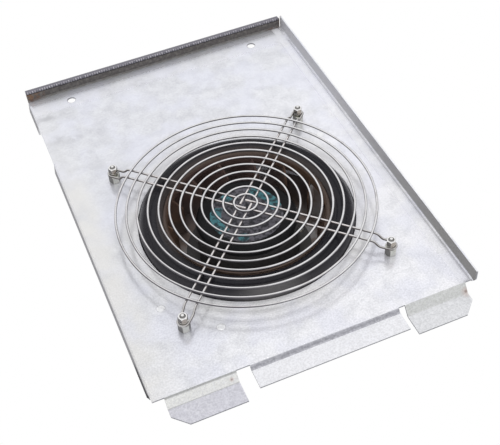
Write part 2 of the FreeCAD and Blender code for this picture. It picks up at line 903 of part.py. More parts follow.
def blade_sheet():
    """One blade as an arc of upright sheet from the +X axis outwards, before its top is trimmed."""
    outer_r = impeller_r - blade_rim_inset
    inlet = math.cos(math.radians(blade_inlet_angle))
    outlet = math.cos(math.radians(blade_outlet_angle))
    arc_r = (outer_r**2 - blade_inner_r**2) / (2 * (outer_r * outlet - blade_inner_r * inlet))
    offset = math.sqrt(arc_r**2 + blade_inner_r**2 - 2 * arc_r * blade_inner_r * inlet)

    def spread(radius):
        """Angle at the fan's axis between the arc's centre and its point at a distance."""
        return math.acos((radius**2 + offset**2 - arc_r**2) / (2 * radius * offset))

    lead = spread(blade_inner_r)
    centre = Vec(offset * math.cos(lead), offset * math.sin(lead), backplate_top)

    def direction(radius):
        """Direction from the arc's centre to its point at a distance from the fan's axis."""
        angle = lead - spread(radius)
        point = Vec(radius * math.cos(angle), radius * math.sin(angle), backplate_top)
        return (point - centre).normalize()

    first = direction(blade_inner_r)
    middle = direction((blade_inner_r + outer_r) / 2)
    last = direction(outer_r)
    near = arc_r - impeller_sheet / 2
    far = arc_r + impeller_sheet / 2
    edges = [
        Part.Arc(centre + first * near, centre + middle * near, centre + last * near).toShape(),
        Part.LineSegment(centre + last * near, centre + last * far).toShape(),
        Part.Arc(centre + last * far, centre + middle * far, centre + first * far).toShape(),
        Part.LineSegment(centre + first * far, centre + first * near).toShape(),
    ]
    return Part.Face(Part.Wire(edges)).extrude(Vec(0, 0, collar_top - backplate_top))


def impeller_blades():
    """Backward-curved blades between the backplate and the shroud."""
    blade = turned(blade_sheet().cut(shroud_space()), blade_start)
    return Part.makeCompound(ring_of(blade, blade_count))


NODES = {
    "mounting_plate": mounting_plate,
    "edge_trim": edge_trim,
    "inlet_nozzle": inlet_nozzle,
    "guard_rings": guard_rings,
    "guard_arms": guard_arms,
    "guard_spacers": guard_spacers,
    "guard_washers": guard_washers,
    "guard_cap_nuts": guard_cap_nuts,
    "spacer_nuts": spacer_nuts,
    "clinch_studs": clinch_studs,
    "bracket_washers": bracket_washers,
    "bracket_nuts": bracket_nuts,
    "motor_bracket": motor_bracket,
    "motor_screws": motor_screws,
    "stator_flange": stator_flange,
    "cable_grommet": cable_grommet,
    "upper_bearing": lambda: bearing(tube_top),
    "lower_bearing": lambda: bearing(lower_bearing_top),
    "stator_core": stator_core,
    "stator_windings": stator_windings,
    "motor_shaft": motor_shaft,
    "shaft_circlip": shaft_circlip,
    "rotor_can": rotor_can,
    "rotor_flange": rotor_flange,
    "rotor_core": rotor_core,
    "rotor_label": rotor_label,
    "impeller_rivets": impeller_rivets,
    "impeller_backplate": impeller_backplate,
    "impeller_shroud": impeller_shroud,
    "impeller_blades": impeller_blades,
}

os.makedirs("parts", exist_ok=True)
for node, build in NODES.items():
    shape = build()
    shape.exportStep(f"parts/{node}.step")
    print(f"{node}: {len(shape.Solids)} solids, valid {shape.isValid()}, {shape.Volume:.0f} mm3")
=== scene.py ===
"""Looks of a centrifugal fan on a cover plate: finishes, fine pieces, floor, light and camera.

Metres, in the fan's own frame: the origin is on the fan's axis at the plate's top face,
+Z points up to the wire guard and +Y to the plate's flanged back edge.
"""
from __future__ import annotations

import json
import logging
import math
from dataclasses import dataclass
from enum import Enum
from functools import cached_property
from typing import Any, Callable, Mapping, Sequence, Union

import bmesh
import bpy
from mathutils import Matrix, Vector

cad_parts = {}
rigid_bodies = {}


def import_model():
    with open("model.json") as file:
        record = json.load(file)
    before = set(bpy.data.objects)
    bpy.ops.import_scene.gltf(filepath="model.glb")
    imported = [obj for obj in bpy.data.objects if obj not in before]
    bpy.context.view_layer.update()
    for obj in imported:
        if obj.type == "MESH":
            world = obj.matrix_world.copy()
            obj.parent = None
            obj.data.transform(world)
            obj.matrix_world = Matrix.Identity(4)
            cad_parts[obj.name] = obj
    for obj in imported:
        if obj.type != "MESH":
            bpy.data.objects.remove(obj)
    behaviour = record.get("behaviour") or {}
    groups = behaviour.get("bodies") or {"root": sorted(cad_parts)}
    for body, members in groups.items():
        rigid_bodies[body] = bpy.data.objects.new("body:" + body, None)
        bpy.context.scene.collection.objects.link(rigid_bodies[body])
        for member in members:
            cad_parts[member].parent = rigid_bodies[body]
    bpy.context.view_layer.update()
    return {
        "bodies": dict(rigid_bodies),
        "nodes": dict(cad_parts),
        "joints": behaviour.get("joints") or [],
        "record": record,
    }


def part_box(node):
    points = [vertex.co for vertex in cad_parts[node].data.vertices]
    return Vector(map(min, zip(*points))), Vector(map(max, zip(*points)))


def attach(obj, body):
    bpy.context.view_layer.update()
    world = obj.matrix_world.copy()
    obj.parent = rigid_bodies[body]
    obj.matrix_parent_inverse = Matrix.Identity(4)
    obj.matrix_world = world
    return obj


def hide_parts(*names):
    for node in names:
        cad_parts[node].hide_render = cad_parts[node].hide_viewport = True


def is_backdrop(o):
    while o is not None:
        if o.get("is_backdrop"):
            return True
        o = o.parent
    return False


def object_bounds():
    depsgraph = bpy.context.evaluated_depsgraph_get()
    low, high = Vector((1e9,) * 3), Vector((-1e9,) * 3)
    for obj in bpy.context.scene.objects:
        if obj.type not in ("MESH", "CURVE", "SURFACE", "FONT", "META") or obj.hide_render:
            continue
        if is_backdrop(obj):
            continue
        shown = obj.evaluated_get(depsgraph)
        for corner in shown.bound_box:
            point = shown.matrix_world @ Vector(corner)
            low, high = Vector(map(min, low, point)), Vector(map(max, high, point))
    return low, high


LOG = logging.getLogger("centrifugal_fan")
MM = 0.001
Colour = tuple[float, float, float]
Point = tuple[float, float, float]
X_AXIS = Vector((1, 0, 0))
Y_AXIS = Vector((0, 1, 0))
Z_AXIS = Vector((0, 0, 1))


class Body(Enum):
    """Bodies of the fan that pieces ride on."""

    FRAME = "frame"
    ROTOR = "rotor"


class Slot(Enum):
    """Finishes that the fan's record names."""

    SHEET = "galvanised_sheet"
    TRIM = "trim_plastic"
    NOZZLE = "nozzle_black"
    WIRE = "guard_wire"
    HARDWARE = "plated_hardware"
    CASTING = "cast_aluminium"
    GROMMET = "grommet_rubber"
    BEARING = "bearing_steel"
    LAMINATION = "lamination_steel"
    WINDING = "copper_winding"
    ROTOR = "rotor_black"
    LABEL = "label_film"
    IMPELLER = "impeller_brown"


@dataclass(frozen=True)
class NodeBox:
    """Box round one node of the fan's frame."""

    low: Vector
    high: Vector

    @classmethod
    def of(cls, node: str) -> NodeBox:
        """Box of a node by its name."""
        return cls(*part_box(node))

    @property
    def size(self) -> Vector:
        """Lengths of the box's sides."""
        return self.high - self.low

    @property
    def centre(self) -> Vector:
        """Middle of the box."""
        return (self.low + self.high) / 2


class Value:
    """Shader socket that takes part in Python arithmetic."""

    def __init__(self, graph: Graph, socket: bpy.types.NodeSocket) -> None:
        """Wrap a socket of a graph."""
        self.graph = graph
        self.socket = socket

    def __add__(self, other: Source) -> Value:
        """Sum with a value or number."""
        return self.graph.math("ADD", self, other)

    def __sub__(self, other: Source) -> Value:
        """Difference from a value or number."""
        return self.graph.math("SUBTRACT", self, other)

    def __rsub__(self, other: Source) -> Value:
        """Number less this value."""
        return self.graph.math("SUBTRACT", other, self)

    def __mul__(self, other: Source) -> Value:
        """Product with a value or number."""
        return self.graph.math("MULTIPLY", self, other)

    def __truediv__(self, other: Source) -> Value:
        """Quotient by a value or number."""
        return self.graph.math("DIVIDE", self, other)

    def __abs__(self) -> Value:
        """This value without its sign."""
        return self.graph.math("ABSOLUTE", self)

    __radd__ = __add__
    __rmul__ = __mul__


Source = Union[Value, float, Sequence[float]]


class Graph:
    """Node tree of one material or of the world, built by expressions."""

    MIX_FACTOR, MIX_A, MIX_B, MIX_RESULT = 0, 6, 7, 2

    def __init__(self, tree: bpy.types.NodeTree) -> None:
        """Empty a node tree to build in."""
        self.tree = tree
        tree.nodes.clear()

    def node(
        self,
        kind: str,
        settings: Mapping[str, Any] | None = None,
        inputs: Mapping[str | int, Source] | None = None,
        output: str | int = 0,
    ) -> Value:
        """Add a node, set it up, and fill or link its sockets.

        Args:
            kind: Blender's type name of the node.
            settings: Properties, set first.
            inputs: Values or links by the socket's name or number.
            output: Name or number of the socket that is returned.

        Returns:
            The node's output, or its first input where it has no output.
        """
        made = self.tree.nodes.new(kind)
        for name, setting in (settings or {}).items():
            setattr(made, name, setting)
        for name, source in (inputs or {}).items():
            if isinstance(source, Value):
                self.tree.links.new(source.socket, made.inputs[name])
            else:
                made.inputs[name].default_value = source
        return Value(self, made.outputs[output] if made.outputs else made.inputs[0])

    def math(self, operation: str, *operands: Source) -> Value:
        """Result of one Math node."""
        return self.node("ShaderNodeMath", {"operation": operation}, dict(enumerate(operands)))

    def either(self, first: Source, second: Source) -> Value:
        """Stronger of two masks."""
        return self.math("MAXIMUM", first, second)

    def split(self, vector: Value) -> tuple[Value, Value, Value]:
        """The three coordinates of a vector."""
        outputs = self.node("ShaderNodeSeparateXYZ", inputs={"Vector": vector}).socket.node.outputs
        return Value(self, outputs[0]), Value(self, outputs[1]), Value(self, outputs[2])

    @cached_property
    def place(self) -> Value:
        """Place on the piece, in metres of the fan's frame."""
        return self.node("ShaderNodeTexCoord", output="Object")

    @cached_property
    def axes(self) -> tuple[Value, Value, Value]:
        """The three coordinates of a place on the piece."""
        return self.split(self.place)

    @cached_property
    def radius(self) -> Value:
        """Distance of a place from the fan's axis."""
        along_x, along_y, _ = self.axes
        return self.math("SQRT", along_x * along_x + along_y * along_y)

    @cached_property
    def facing(self) -> tuple[Value, Value, Value]:
        """The three coordinates of the direction that the surface faces."""
        return self.split(self.node("ShaderNodeTexCoord", output="Normal"))

    def upright(self, start: float = 0.5) -> Value:
        """Mask of walls, from a share that they face up or down."""
        return self.fade(abs(self.facing[2]), start, 0.2)

    def ray(self, kind: str) -> Value:
        """Mask of one kind of ray, by its name on Light Path."""
        return self.node("ShaderNodeLightPath", output=kind)

    def noise(self, grain: float, detail: float = 3.0, stretch: Point = (1, 1, 1)) -> Value:
        """Cloudy noise with a value round 0.5.

        Args:
            grain: Size of its clouds in metres.
            detail: How many finer layers it has.
            stretch: How much denser it is along each axis.

        Returns:
            The noise's value.
        """
        mapped = self.node("ShaderNodeMapping", inputs={"Vector": self.place, "Scale": stretch})
        return self.node(
            "ShaderNodeTexNoise", None, {"Vector": mapped, "Scale": 1 / grain, "Detail": detail}, "Fac"
        )

    def fade(self, value: Value, start: float, end: float, low: float = 0.0, high: float = 1.0) -> Value:
        """Smooth step of a value.

        Args:
            value: What the step runs over.
            start: Value where the step begins; it may lie above the end.
            end: Value where the step ends.
            low: Result at the start.
            high: Result at the end.

        Returns:
            The step's result.
        """
        return self.node(
            "ShaderNodeMapRange",
            {"interpolation_type": "SMOOTHSTEP"},
            {"Value": value, "From Min": start, "From Max": end, "To Min": low, "To Max": high},
        )

    def within(self, value: Value, low: float, high: float, soft: float) -> Value:
        """Mask that is 1 between two limits, with soft edges outside them."""
        return self.fade(value, low - soft, low) * self.fade(value, high + soft, high)

    def near(self, spot: Sequence[float], inner: float, outer: float, squash: Point = (1, 1, 1)) -> Value:
        """Soft blot round a spot.

        Args:
            spot: Middle of the blot.
            inner: Distance up to which the blot is 1.
            outer: Distance from which it is 0.
            squash: How much faster it fades along each axis.

        Returns:
            The blot's strength.
        """
        offset = self.node(
            "ShaderNodeVectorMath", {"operation": "SUBTRACT"}, {0: self.place, 1: tuple(spot)}
        )
        scaled = self.node("ShaderNodeVectorMath", {"operation": "MULTIPLY"}, {0: offset, 1: squash})
        length = self.node("ShaderNodeVectorMath", {"operation": "LENGTH"}, {0: scaled}, "Value")
        return self.fade(length, inner, outer, 1.0, 0.0)

    def mix(self, factor: Source, first: Value | Colour, second: Value | Colour) -> Value:
        """Colour between two colours.

        Args:
            factor: Share of the second colour.
            first: Colour at a share of 0.
            second: Colour at a share of 1.

        Returns:
            The mixed colour.
        """
        inputs: dict[str | int, Source] = {self.MIX_FACTOR: factor}
        for index, colour in ((self.MIX_A, first), (self.MIX_B, second)):
            inputs[index] = colour if isinstance(colour, Value) else (*colour, 1.0)
        return self.node("ShaderNodeMix", {"data_type": "RGBA"}, inputs, self.MIX_RESULT)

    def bump(self, height: Value, depth: float, strength: float = 1.0) -> Value:
        """Normal bent by a height that is worth a depth in metres."""
        inputs = {"Height": height, "Distance": depth, "Strength": strength}
        return self.node("ShaderNodeBump", None, inputs)

    def surface(self, **sockets: Source) -> None:
        """End the material in a Principled shader.

        Args:
            **sockets: Value, number or colour of each socket, by its name in snake case.
        """
        inputs: dict[str | int, Source] = {}
        for name, source in sockets.items():
            title = name.replace("_", " ").title().replace("Ior", "IOR")
            is_colour = not isinstance(source, (Value, float, int))
            inputs[title] = (*source, 1.0) if is_colour else source
        shader = self.node("ShaderNodeBsdfPrincipled", None, inputs)
        self.node("ShaderNodeOutputMaterial", None, {"Surface": shader})


def blank_material(name: str) -> tuple[bpy.types.Material, Graph]:
    """Make an empty material.

    Args:
        name: Name of the material.

    Returns:
        The material and the graph to build it in.
    """
    made = bpy.data.materials.new(name)
    made.use_nodes = True
    return made, Graph(made.node_tree)


@dataclass(frozen=True)
class Finish:
    """One finish of the fan, made into a material once and shared by its pieces."""

    slot: Slot

    def shade(self, graph: Graph) -> None:
        """Build the finish's nodes."""
        raise NotImplementedError

    def material(self) -> bpy.types.Material:
        """Make the material of this finish.

        Returns:
            The finished material.
        """
        made, graph = blank_material(self.slot.value)
        self.shade(graph)
        return made


@dataclass(frozen=True)
class TabLight:
    """Painted light and shade of one front tab: where it lies, where its slope ends, and how its parts and
    bends look.
    """

    left: float
    right: float
    slope_start: float
    slope_end: float
    slope: Colour
    flat: Colour
    creases: float


@dataclass(frozen=True)
class GalvanisedSheet(Finish):
    """Zinc-coated sheet with cloudy spangle, smudges, a grimy back flange and rust spots, painted light and
    shade on its flanges, tabs, hole rims, stud heads and back edge, and painted paler towards the front
    right.
    """

    slot: Slot = Slot.SHEET
    zinc: Colour = (0.88, 0.885, 0.92)
    zinc_painted_light: Colour = (0.975, 0.97, 1.0)
    blue: Colour = (0.80, 0.81, 0.925)
    cloud: Colour = (0.66, 0.665, 0.70)
    cream: Colour = (0.82, 0.805, 0.775)
    smudge_and_shade: Colour = (0.50, 0.50, 0.52)
    grime_and_shade: Colour = (0.30, 0.285, 0.27)
    rust: Colour = (0.19, 0.085, 0.055)
    rust_halo: Colour = (0.70, 0.58, 0.54)
    cut_edge_and_shade: Colour = (0.22, 0.22, 0.25)
    stud_head_highlight: Colour = (0.93, 0.93, 0.94)
    right_shade_front: Colour = (0.30, 0.295, 0.285)
    right_shade_back: Colour = (0.56, 0.555, 0.58)
    left_flange_shade: Colour = (0.34, 0.335, 0.35)
    left_hem_edge_and_shade: Colour = (0.04, 0.04, 0.045)
    lit_edge: Colour = (0.98, 0.98, 0.99)
    crease_shade: Colour = (0.40, 0.405, 0.40)
    cloud_share: float = 0.38
    spangle_share: float = 0.24
    grain_share: float = 0.30
    painted_light_share: float = -0.54
    base_tone: float = 0.28
    front_edge: float = -158 * MM
    opening_r: float = 104 * MM
    spangle_size: float = 7 * MM
    hole_r: float = 4.5 * MM
    holes: tuple[Point, ...] = ((-106 * MM, 239.6 * MM, 0), (106 * MM, 239.6 * MM, 0))
    smudges: tuple[tuple[float, float, float], ...] = (
        (-138 * MM, 222 * MM, 0.75), (-116 * MM, 224 * MM, 0.45), (-66 * MM, 241 * MM, 0.4),
        (-32 * MM, 233 * MM, 0.5), (59 * MM, 238 * MM, 0.3), (-96 * MM, 178 * MM, 0.3),
        (-136 * MM, 183 * MM, 0.5), (-118 * MM, 178 * MM, 0.4),
    )
    rust_spots: tuple[tuple[Point, float], ...] = (
        ((-81.7 * MM, -162.9 * MM, -4 * MM), 1.0 * MM), ((141 * MM, -164.8 * MM, -5 * MM), 2.1 * MM),
    )
    tabs: tuple[TabLight, ...] = (
        TabLight(-139.5 * MM, -76 * MM, -159 * MM, -165 * MM, (1.0, 1.0, 0.97), (0.61, 0.605, 0.66), 0.95),
        TabLight(-63.5 * MM, 76.5 * MM, -158.8 * MM, -162 * MM, (0.42, 0.42, 0.46), (0.85, 0.85, 0.875), 0.0),
        TabLight(82.5 * MM, 146 * MM, -158.4 * MM, -165 * MM, (0.74, 0.75, 0.73), (0.725, 0.73, 0.745), 0.25),
    )

    @property
    def plate(self) -> NodeBox:
        """Box of the cover plate."""
        return NodeBox.of("mounting_plate")

    def shade(self, graph: Graph) -> None:
        """Build the sheet's nodes.

        Args:
            graph: Graph of the finish's material.
        """
        grain = graph.fade(graph.noise(2.4 * MM, 2.0), 0.28, 0.72)
        colour = self._marks(graph, self._zinc(graph, grain))
        colour = self._tabs(graph, colour, grain)
        specks = graph.fade(graph.noise(1.5 * MM, 1.0), 0.3, 0.7)
        front = graph.fade(graph.axes[1], 120 * MM, -160 * MM, 0.02, 0.15)
        colour = graph.mix(specks * front, colour, (0, 0, 0))
        strips = self._strips(graph)
        # Painted light: the strips along the flanges are painted a little paler, towards lit_edge.
        colour, dull, left = self._flanges(graph, graph.mix(strips * 0.2, colour, self.lit_edge))
        on_tabs = graph.fade(graph.axes[1], self.front_edge - 0.5 * MM, self.front_edge - 1.5 * MM)
        matt = graph.either(graph.either(dull, strips), on_tabs * 0.8)
        graph.surface(
            base_color=colour,
            metallic=0.5 - 0.4 * matt,
            roughness=0.20 + 0.06 * grain + 0.36 * matt + 0.30 * left,
            normal=graph.bump(grain, 0.03 * MM, 0.08),
        )

    def _zinc(self, graph: Graph, grain: Value) -> Value:
        """Colour of clean sheet: cool spangle, warmer at the left edge, painted paler towards the front
        right as light.

        Args:
            graph: Graph of the finish's material.
            grain: Fine grain of the sheet, from 0 to 1.

        Returns:
            The clean sheet's colour.
        """
        along_x, along_y, _ = graph.axes
        warp = graph.noise(14 * MM, 3.0)
        shifted = graph.node(
            "ShaderNodeVectorMath",
            {"operation": "MULTIPLY_ADD"},
            {0: graph.node("ShaderNodeCombineXYZ", None, {0: warp, 1: warp, 2: warp}),
             1: (6 * MM, -5 * MM, 0), 2: graph.place},
        )
        cells = graph.node(
            "ShaderNodeTexVoronoi", None, {"Vector": shifted, "Scale": 1 / self.spangle_size}, "Color"
        )
        spangle = graph.node("ShaderNodeSeparateColor", None, {"Color": cells})
        clouds = graph.fade(graph.noise(17 * MM, 4.0), 0.35, 0.7)
        # Painted light: the sheet is painted paler towards the front right.
        slant = graph.fade(along_x - along_y, -200 * MM, 200 * MM)
        tone = clouds * self.cloud_share + spangle * self.spangle_share + grain * self.grain_share
        tone = tone + slant * self.painted_light_share + self.base_tone
        colour = graph.mix(tone, graph.mix(slant, self.zinc, self.zinc_painted_light), self.cloud)
        colour = graph.mix(graph.fade(graph.noise(38 * MM, 2.0), 0.42, 0.62, 0, 0.4), colour, self.blue)
        left = self.plate.low.x
        left_edge = graph.fade(along_x, left + 33.2 * MM, left + 11.2 * MM)
        warm_edge = left_edge * graph.fade(along_y, 150 * MM, 90 * MM, 0.25, 1)
        round_opening = graph.within(graph.radius, self.opening_r + 4 * MM, self.opening_r + 8 * MM, 16 * MM)
        warm = warm_edge + 0.6 * round_opening
        patchy = graph.fade(graph.noise(30 * MM), 0.3, 0.6, 0.25, 0.75)
        return graph.mix(warm * patchy, colour, self.cream)

    def _marks(self, graph: Graph, colour: Value) -> Value:
        """Smudges, the studs' heads painted pale as a highlight, painted shade on the rims of the fixing
        holes, and painted shade on the sheet in front of the back flange.

        Args:
            graph: Graph of the finish's material.
            colour: Colour of the surface so far.

        Returns:
            The colour with its marks.
        """
        broken = graph.fade(graph.noise(7 * MM, 4.0), 0.30, 0.62)
        for across, along, strength in self.smudges:
            blot = graph.near((across, along, 0), 1 * MM, 13 * MM, (0.8, 1.2, 0.1))
            colour = graph.mix(blot * broken * strength, colour, self.smudge_and_shade)
        fasteners = Fasteners()
        # Painted highlight: the studs' heads are painted paler than the sheet.
        for spot in fasteners.stud_spots:
            head_r = fasteners.stud_head_r
            head = graph.near(spot, head_r - 0.4 * MM, head_r + 0.2 * MM, (1, 1, 0.2))
            colour = graph.mix(head * 0.8, colour, self.stud_head_highlight)
        # Painted shade: the fixing holes' rims are painted dark where their far walls lie in shade.
        for hole in self.holes:
            rim = graph.near(hole, self.hole_r + 0.1 * MM, self.hole_r + 0.6 * MM)
            colour = graph.mix(rim * 0.85, colour, self.cut_edge_and_shade)
        # Painted shade: the sheet is darkened in front of the back flange.
        back = self.plate.high.y
        painted_shade_mask = graph.fade(graph.axes[1], back - 11 * MM, back - 3 * MM, 0, 0.35)
        return graph.mix(painted_shade_mask, colour, self.smudge_and_shade)

    def _strips(self, graph: Graph) -> Value:
        """Matt strips along the right and back flanges, which mirror little of them; the sheet there is also
        painted a little paler as light.

        Args:
            graph: Graph of the finish's material.

        Returns:
            Mask of the strips.
        """
        along_x, along_y, _ = graph.axes
        back = self.plate.high.y
        beside = graph.within(along_x, 140 * MM, 145.6 * MM, 2.2 * MM)
        before = graph.within(along_y, back - 24 * MM, back - 16 * MM, 7 * MM)
        on_plate = graph.fade(along_y, self.front_edge, self.front_edge + 4 * MM)
        return graph.either(beside * on_plate, before * 0.6)

    def _tabs(self, graph: Graph, colour: Value, grain: Value) -> Value:
        """Painted light and shade of the front tabs and their creases, their cut edges, and the rust spots.

        Args:
            graph: Graph of the finish's material.
            colour: Colour of the surface so far.
            grain: Fine grain of the sheet, from 0 to 1.

        Returns:
            The colour with its tabs.
        """
        along_x, along_y, _ = graph.axes
        speckle = graph.fade(grain, 0, 1, 0.72, 1.0)
        # Painted light and shade: each tab's slope and flat are painted lighter or darker, and its bends
        # dark.
        for tab in self.tabs:
            across = graph.within(along_x, tab.left, tab.right, 2 * MM)
            flat = graph.fade(along_y, tab.slope_end, tab.slope_end - 0.6 * MM)
            slope = graph.within(along_y, tab.slope_end, tab.slope_start, 0.5 * MM)
            colour = graph.mix(across * slope * speckle, colour, tab.slope)
            colour = graph.mix(across * flat * speckle, colour, tab.flat)
            colour = graph.mix(across * tab.creases * self._creases(graph, tab), colour, self.crease_shade)
        in_front = graph.fade(along_y, self.front_edge + 0.6 * MM, self.front_edge + 0.2 * MM)
        colour = graph.mix(graph.upright(0.4) * in_front * 0.8, colour, self.cut_edge_and_shade)
        for spot, size in self.rust_spots:
            colour = graph.mix(graph.near(spot, size, 3 * size) * 0.6, colour, self.rust_halo)
            colour = graph.mix(graph.near(spot, 0.4 * size, 1.3 * size), colour, self.rust)
        return colour

    def _creases(self, graph: Graph, tab: TabLight) -> Value:
        """Painted shade on the bends above and below a tab's slope.

        Args:
            graph: Graph of the finish's material.
            tab: Tab that is bent there.

        Returns:
            Mask of the bends.
        """
        along_y = graph.axes[1]
        upper = graph.within(along_y, self.front_edge - 1.1 * MM, self.front_edge - 0.7 * MM, 1.2 * MM)
        lower = graph.within(along_y, tab.slope_end - 0.3 * MM, tab.slope_end, 0.5 * MM)
        return upper + lower * 0.6

    def _flanges(self, graph: Graph, colour: Value) -> tuple[Value, Value, Value]:
        """Side flanges, matt and painted dark as shade, and the grimy back flange.

        Args:
            graph: Graph of the sheet's material.
            colour: Colour of the sheet so far.

        Returns:
            The colour with its flanges, how dull the sheet is, and where its left flange is.
        """
        along_x, along_y, height = graph.axes
        plate = self.plate
        sideways = graph.fade(abs(graph.facing[0]), 0.45, 0.8)
        right = sideways * graph.fade(along_x, plate.high.x - 4 * MM, plate.high.x - 3 * MM)
        # Painted shade: the right flange's inner face is painted dark, darker towards the front.
        right_flange_shade = graph.mix(graph.fade(along_y, -140 * MM, 160 * MM), self.right_shade_front, self.right_shade_back)
        colour = graph.mix(right * graph.fade(height, 0.6 * MM, 2.4 * MM), colour, right_flange_shade)
        # Painted shade: the left flange is painted dark, near black along its lower hem and front end, which
        # also show its cut edge.
        left = sideways * graph.fade(along_x, plate.low.x + 4 * MM, plate.low.x + 3 * MM)
        hem = graph.either(
            graph.fade(height, -5.5 * MM, -7 * MM) * graph.fade(along_y, -105 * MM, -120 * MM),
            graph.fade(along_y + height, -151 * MM, -153 * MM),
        )
        left_shade_tone = graph.mix(hem, self.left_flange_shade, self.left_hem_edge_and_shade)
        colour = graph.mix(left * graph.fade(height, -1.6 * MM, -3.4 * MM), colour, left_shade_tone)

        back = graph.fade(along_y, plate.high.y - 3.2 * MM, plate.high.y - 1.6 * MM)
        streaks = graph.fade(graph.noise(6 * MM, 3.0, (1, 1, 0.25)), 0.25, 0.6, 0.75, 1.0)
        colour = graph.mix(back * streaks, colour, self.grime_and_shade)
        ends = graph.fade(abs(along_x), 128 * MM, 146 * MM)
        rusty = back * ends * graph.fade(graph.noise(5 * MM), 0.3, 0.55)
        dull = graph.either(back, graph.either(left, right))
        return graph.mix(rusty * 0.8, colour, self.rust), dull, left


@dataclass(frozen=True)
class TrimPlastic(Finish):
    """Edge trim with a dark crown that carries painted highlights along its front ribs, a painted shadow in
    the groove under it, and dusty legs.
    """

    slot: Slot = Slot.TRIM
    crown: Colour = (0.165, 0.158, 0.185)
    worn_and_highlight: Colour = (0.62, 0.60, 0.65)
    groove: Colour = (0.022, 0.021, 0.024)
    leg: Colour = (0.115, 0.105, 0.100)
    dust: Colour = (0.24, 0.222, 0.205)
    rust: Colour = (0.24, 0.13, 0.07)
    crown_h: float = 2.1 * MM
    groove_h: float = 0.9 * MM
    bead_pitch: float = 2.7 * MM

    def shade(self, graph: Graph) -> None:
        """Build the trim's nodes.

        Args:
            graph: Graph of the finish's material.
        """
        along_x, along_y, height = graph.axes
        room = NodeBox.of("edge_trim")
        shoulder = room.high.z - self.crown_h
        dusty = graph.fade(graph.noise(3.5 * MM, 4.0), 0.42, 0.70)
        leg = graph.mix(dusty * 0.7, self.leg, self.dust)
        rusty_end = graph.fade(along_x, room.low.x + 26 * MM, room.low.x + 4 * MM)
        leg = graph.mix(rusty_end * graph.fade(graph.noise(4 * MM), 0.35, 0.6) * 0.8, leg, self.rust)
        # Painted highlights: glints along the front edge of each rib of the crown.
        beads = graph.fade(graph.math("SINE", along_x * (2 * math.pi / self.bead_pitch)), -0.1, 0.6)
        front = graph.fade(along_y, room.low.y + 1.7 * MM, room.low.y + 0.8 * MM)
        broken_glints = graph.fade(graph.noise(4 * MM, 3.0), 0.38, 0.55)
        crown = graph.mix(front * beads * broken_glints * 0.8, self.crown, self.worn_and_highlight)
        colour = graph.mix(graph.fade(height, shoulder - 0.1 * MM, shoulder + 0.1 * MM), leg, crown)
        # Painted shadow: the groove under the crown is painted near black.
        dark = graph.within(height, shoulder - self.groove_h, shoulder, 0.15 * MM)
        graph.surface(
            base_color=graph.mix(dark, colour, self.groove),
            roughness=0.42 + 0.2 * dusty,
            specular_ior_level=0.4,
            normal=graph.bump(graph.noise(0.6 * MM, 2.0), 0.03 * MM, 0.4),
        )


@dataclass(frozen=True)
class PaintedBlack(Finish):
    """Black half-gloss paint with a little orange peel, a film of dust, and where set, walls painted lighter
    as painted light.
    """

    slot: Slot
    paint: Colour = (0.011, 0.0105, 0.0145)
    dust: Colour = (0.075, 0.068, 0.062)
    dust_share: float = 0.16
    gloss_roughness: float = 0.26
    gloss: float = 0.22
    painted_wall_light: float = 0.0

    def shade(self, graph: Graph) -> None:
        """Build the paint's nodes.

        Args:
            graph: Graph of the finish's material.
        """
        dusty = graph.fade(graph.noise(18 * MM, 5.0), 0.45, 0.8)
        specks = graph.fade(graph.noise(1.1 * MM, 2.0), 0.62, 0.72)
        # Painted light: where a share is set, the walls are painted lighter with the dust colour.
        film = dusty * self.dust_share + specks * 0.12 + graph.upright() * self.painted_wall_light
        graph.surface(
            base_color=self._wear_and_sheen(graph, graph.mix(film, self.paint, self.dust)),
            roughness=self.gloss_roughness + 0.25 * dusty,
            specular_ior_level=self.gloss,
            normal=graph.bump(graph.noise(2.5 * MM, 1.0), 0.04 * MM, 0.25),
        )

    def _wear_and_sheen(self, graph: Graph, colour: Value) -> Value:
        """Colour with the wear and painted sheen of one piece."""
        raise NotImplementedError


@dataclass(frozen=True)
class NozzlePaint(PaintedBlack):
    """Paint of the nozzle: a painted highlight at the front of its lip, lighter outside it with dust and a
    painted reflection, and dusty in its throat.
    """

    slot: Slot = Slot.NOZZLE
    sheen: Colour = (0.16, 0.155, 0.155)
    highlight_at: Point = (-17 * MM, -98.5 * MM, 6.5 * MM)
    throat_r: float = 82 * MM
    skirt_r: float = 102.5 * MM
    flank_dust_and_reflection: Colour = (0.060, 0.057, 0.064)
    throat_dust: Colour = (0.095, 0.078, 0.072)

    def _wear_and_sheen(self, graph: Graph, colour: Value) -> Value:
        """Colour with the dusty throat, the flank lighter with dust and a painted reflection, and the
        painted highlight on the lip.

        Args:
            graph: Graph of the finish's material.
            colour: Colour of the surface so far.

        Returns:
            The colour with its wear and painted light.
        """
        along_x, along_y, _ = graph.axes
        inside = graph.fade(graph.radius, self.throat_r + 5 * MM, self.throat_r)
        throat = inside * graph.fade(along_y, -50 * MM, 10 * MM)
        colour = graph.mix(throat * 0.6, colour, self.throat_dust)
        # Dust and painted reflection: the lip's outer flank is painted lighter.
        flank = graph.either(
            graph.fade(graph.radius, self.skirt_r - 7 * MM, self.skirt_r) * 0.8,
            graph.fade(along_x, -60 * MM, -100 * MM) * 0.2,
        )
        colour = graph.mix(flank, colour, self.flank_dust_and_reflection)
        # Painted highlight: a grey sheen on the front of the lip.
        outside = graph.fade(graph.radius, 93 * MM, 96.5 * MM)
        lip = graph.near(self.highlight_at, 6 * MM, 46 * MM, (1, 2, 2)) * outside
        return graph.mix(lip * 0.75, colour, self.sheen)


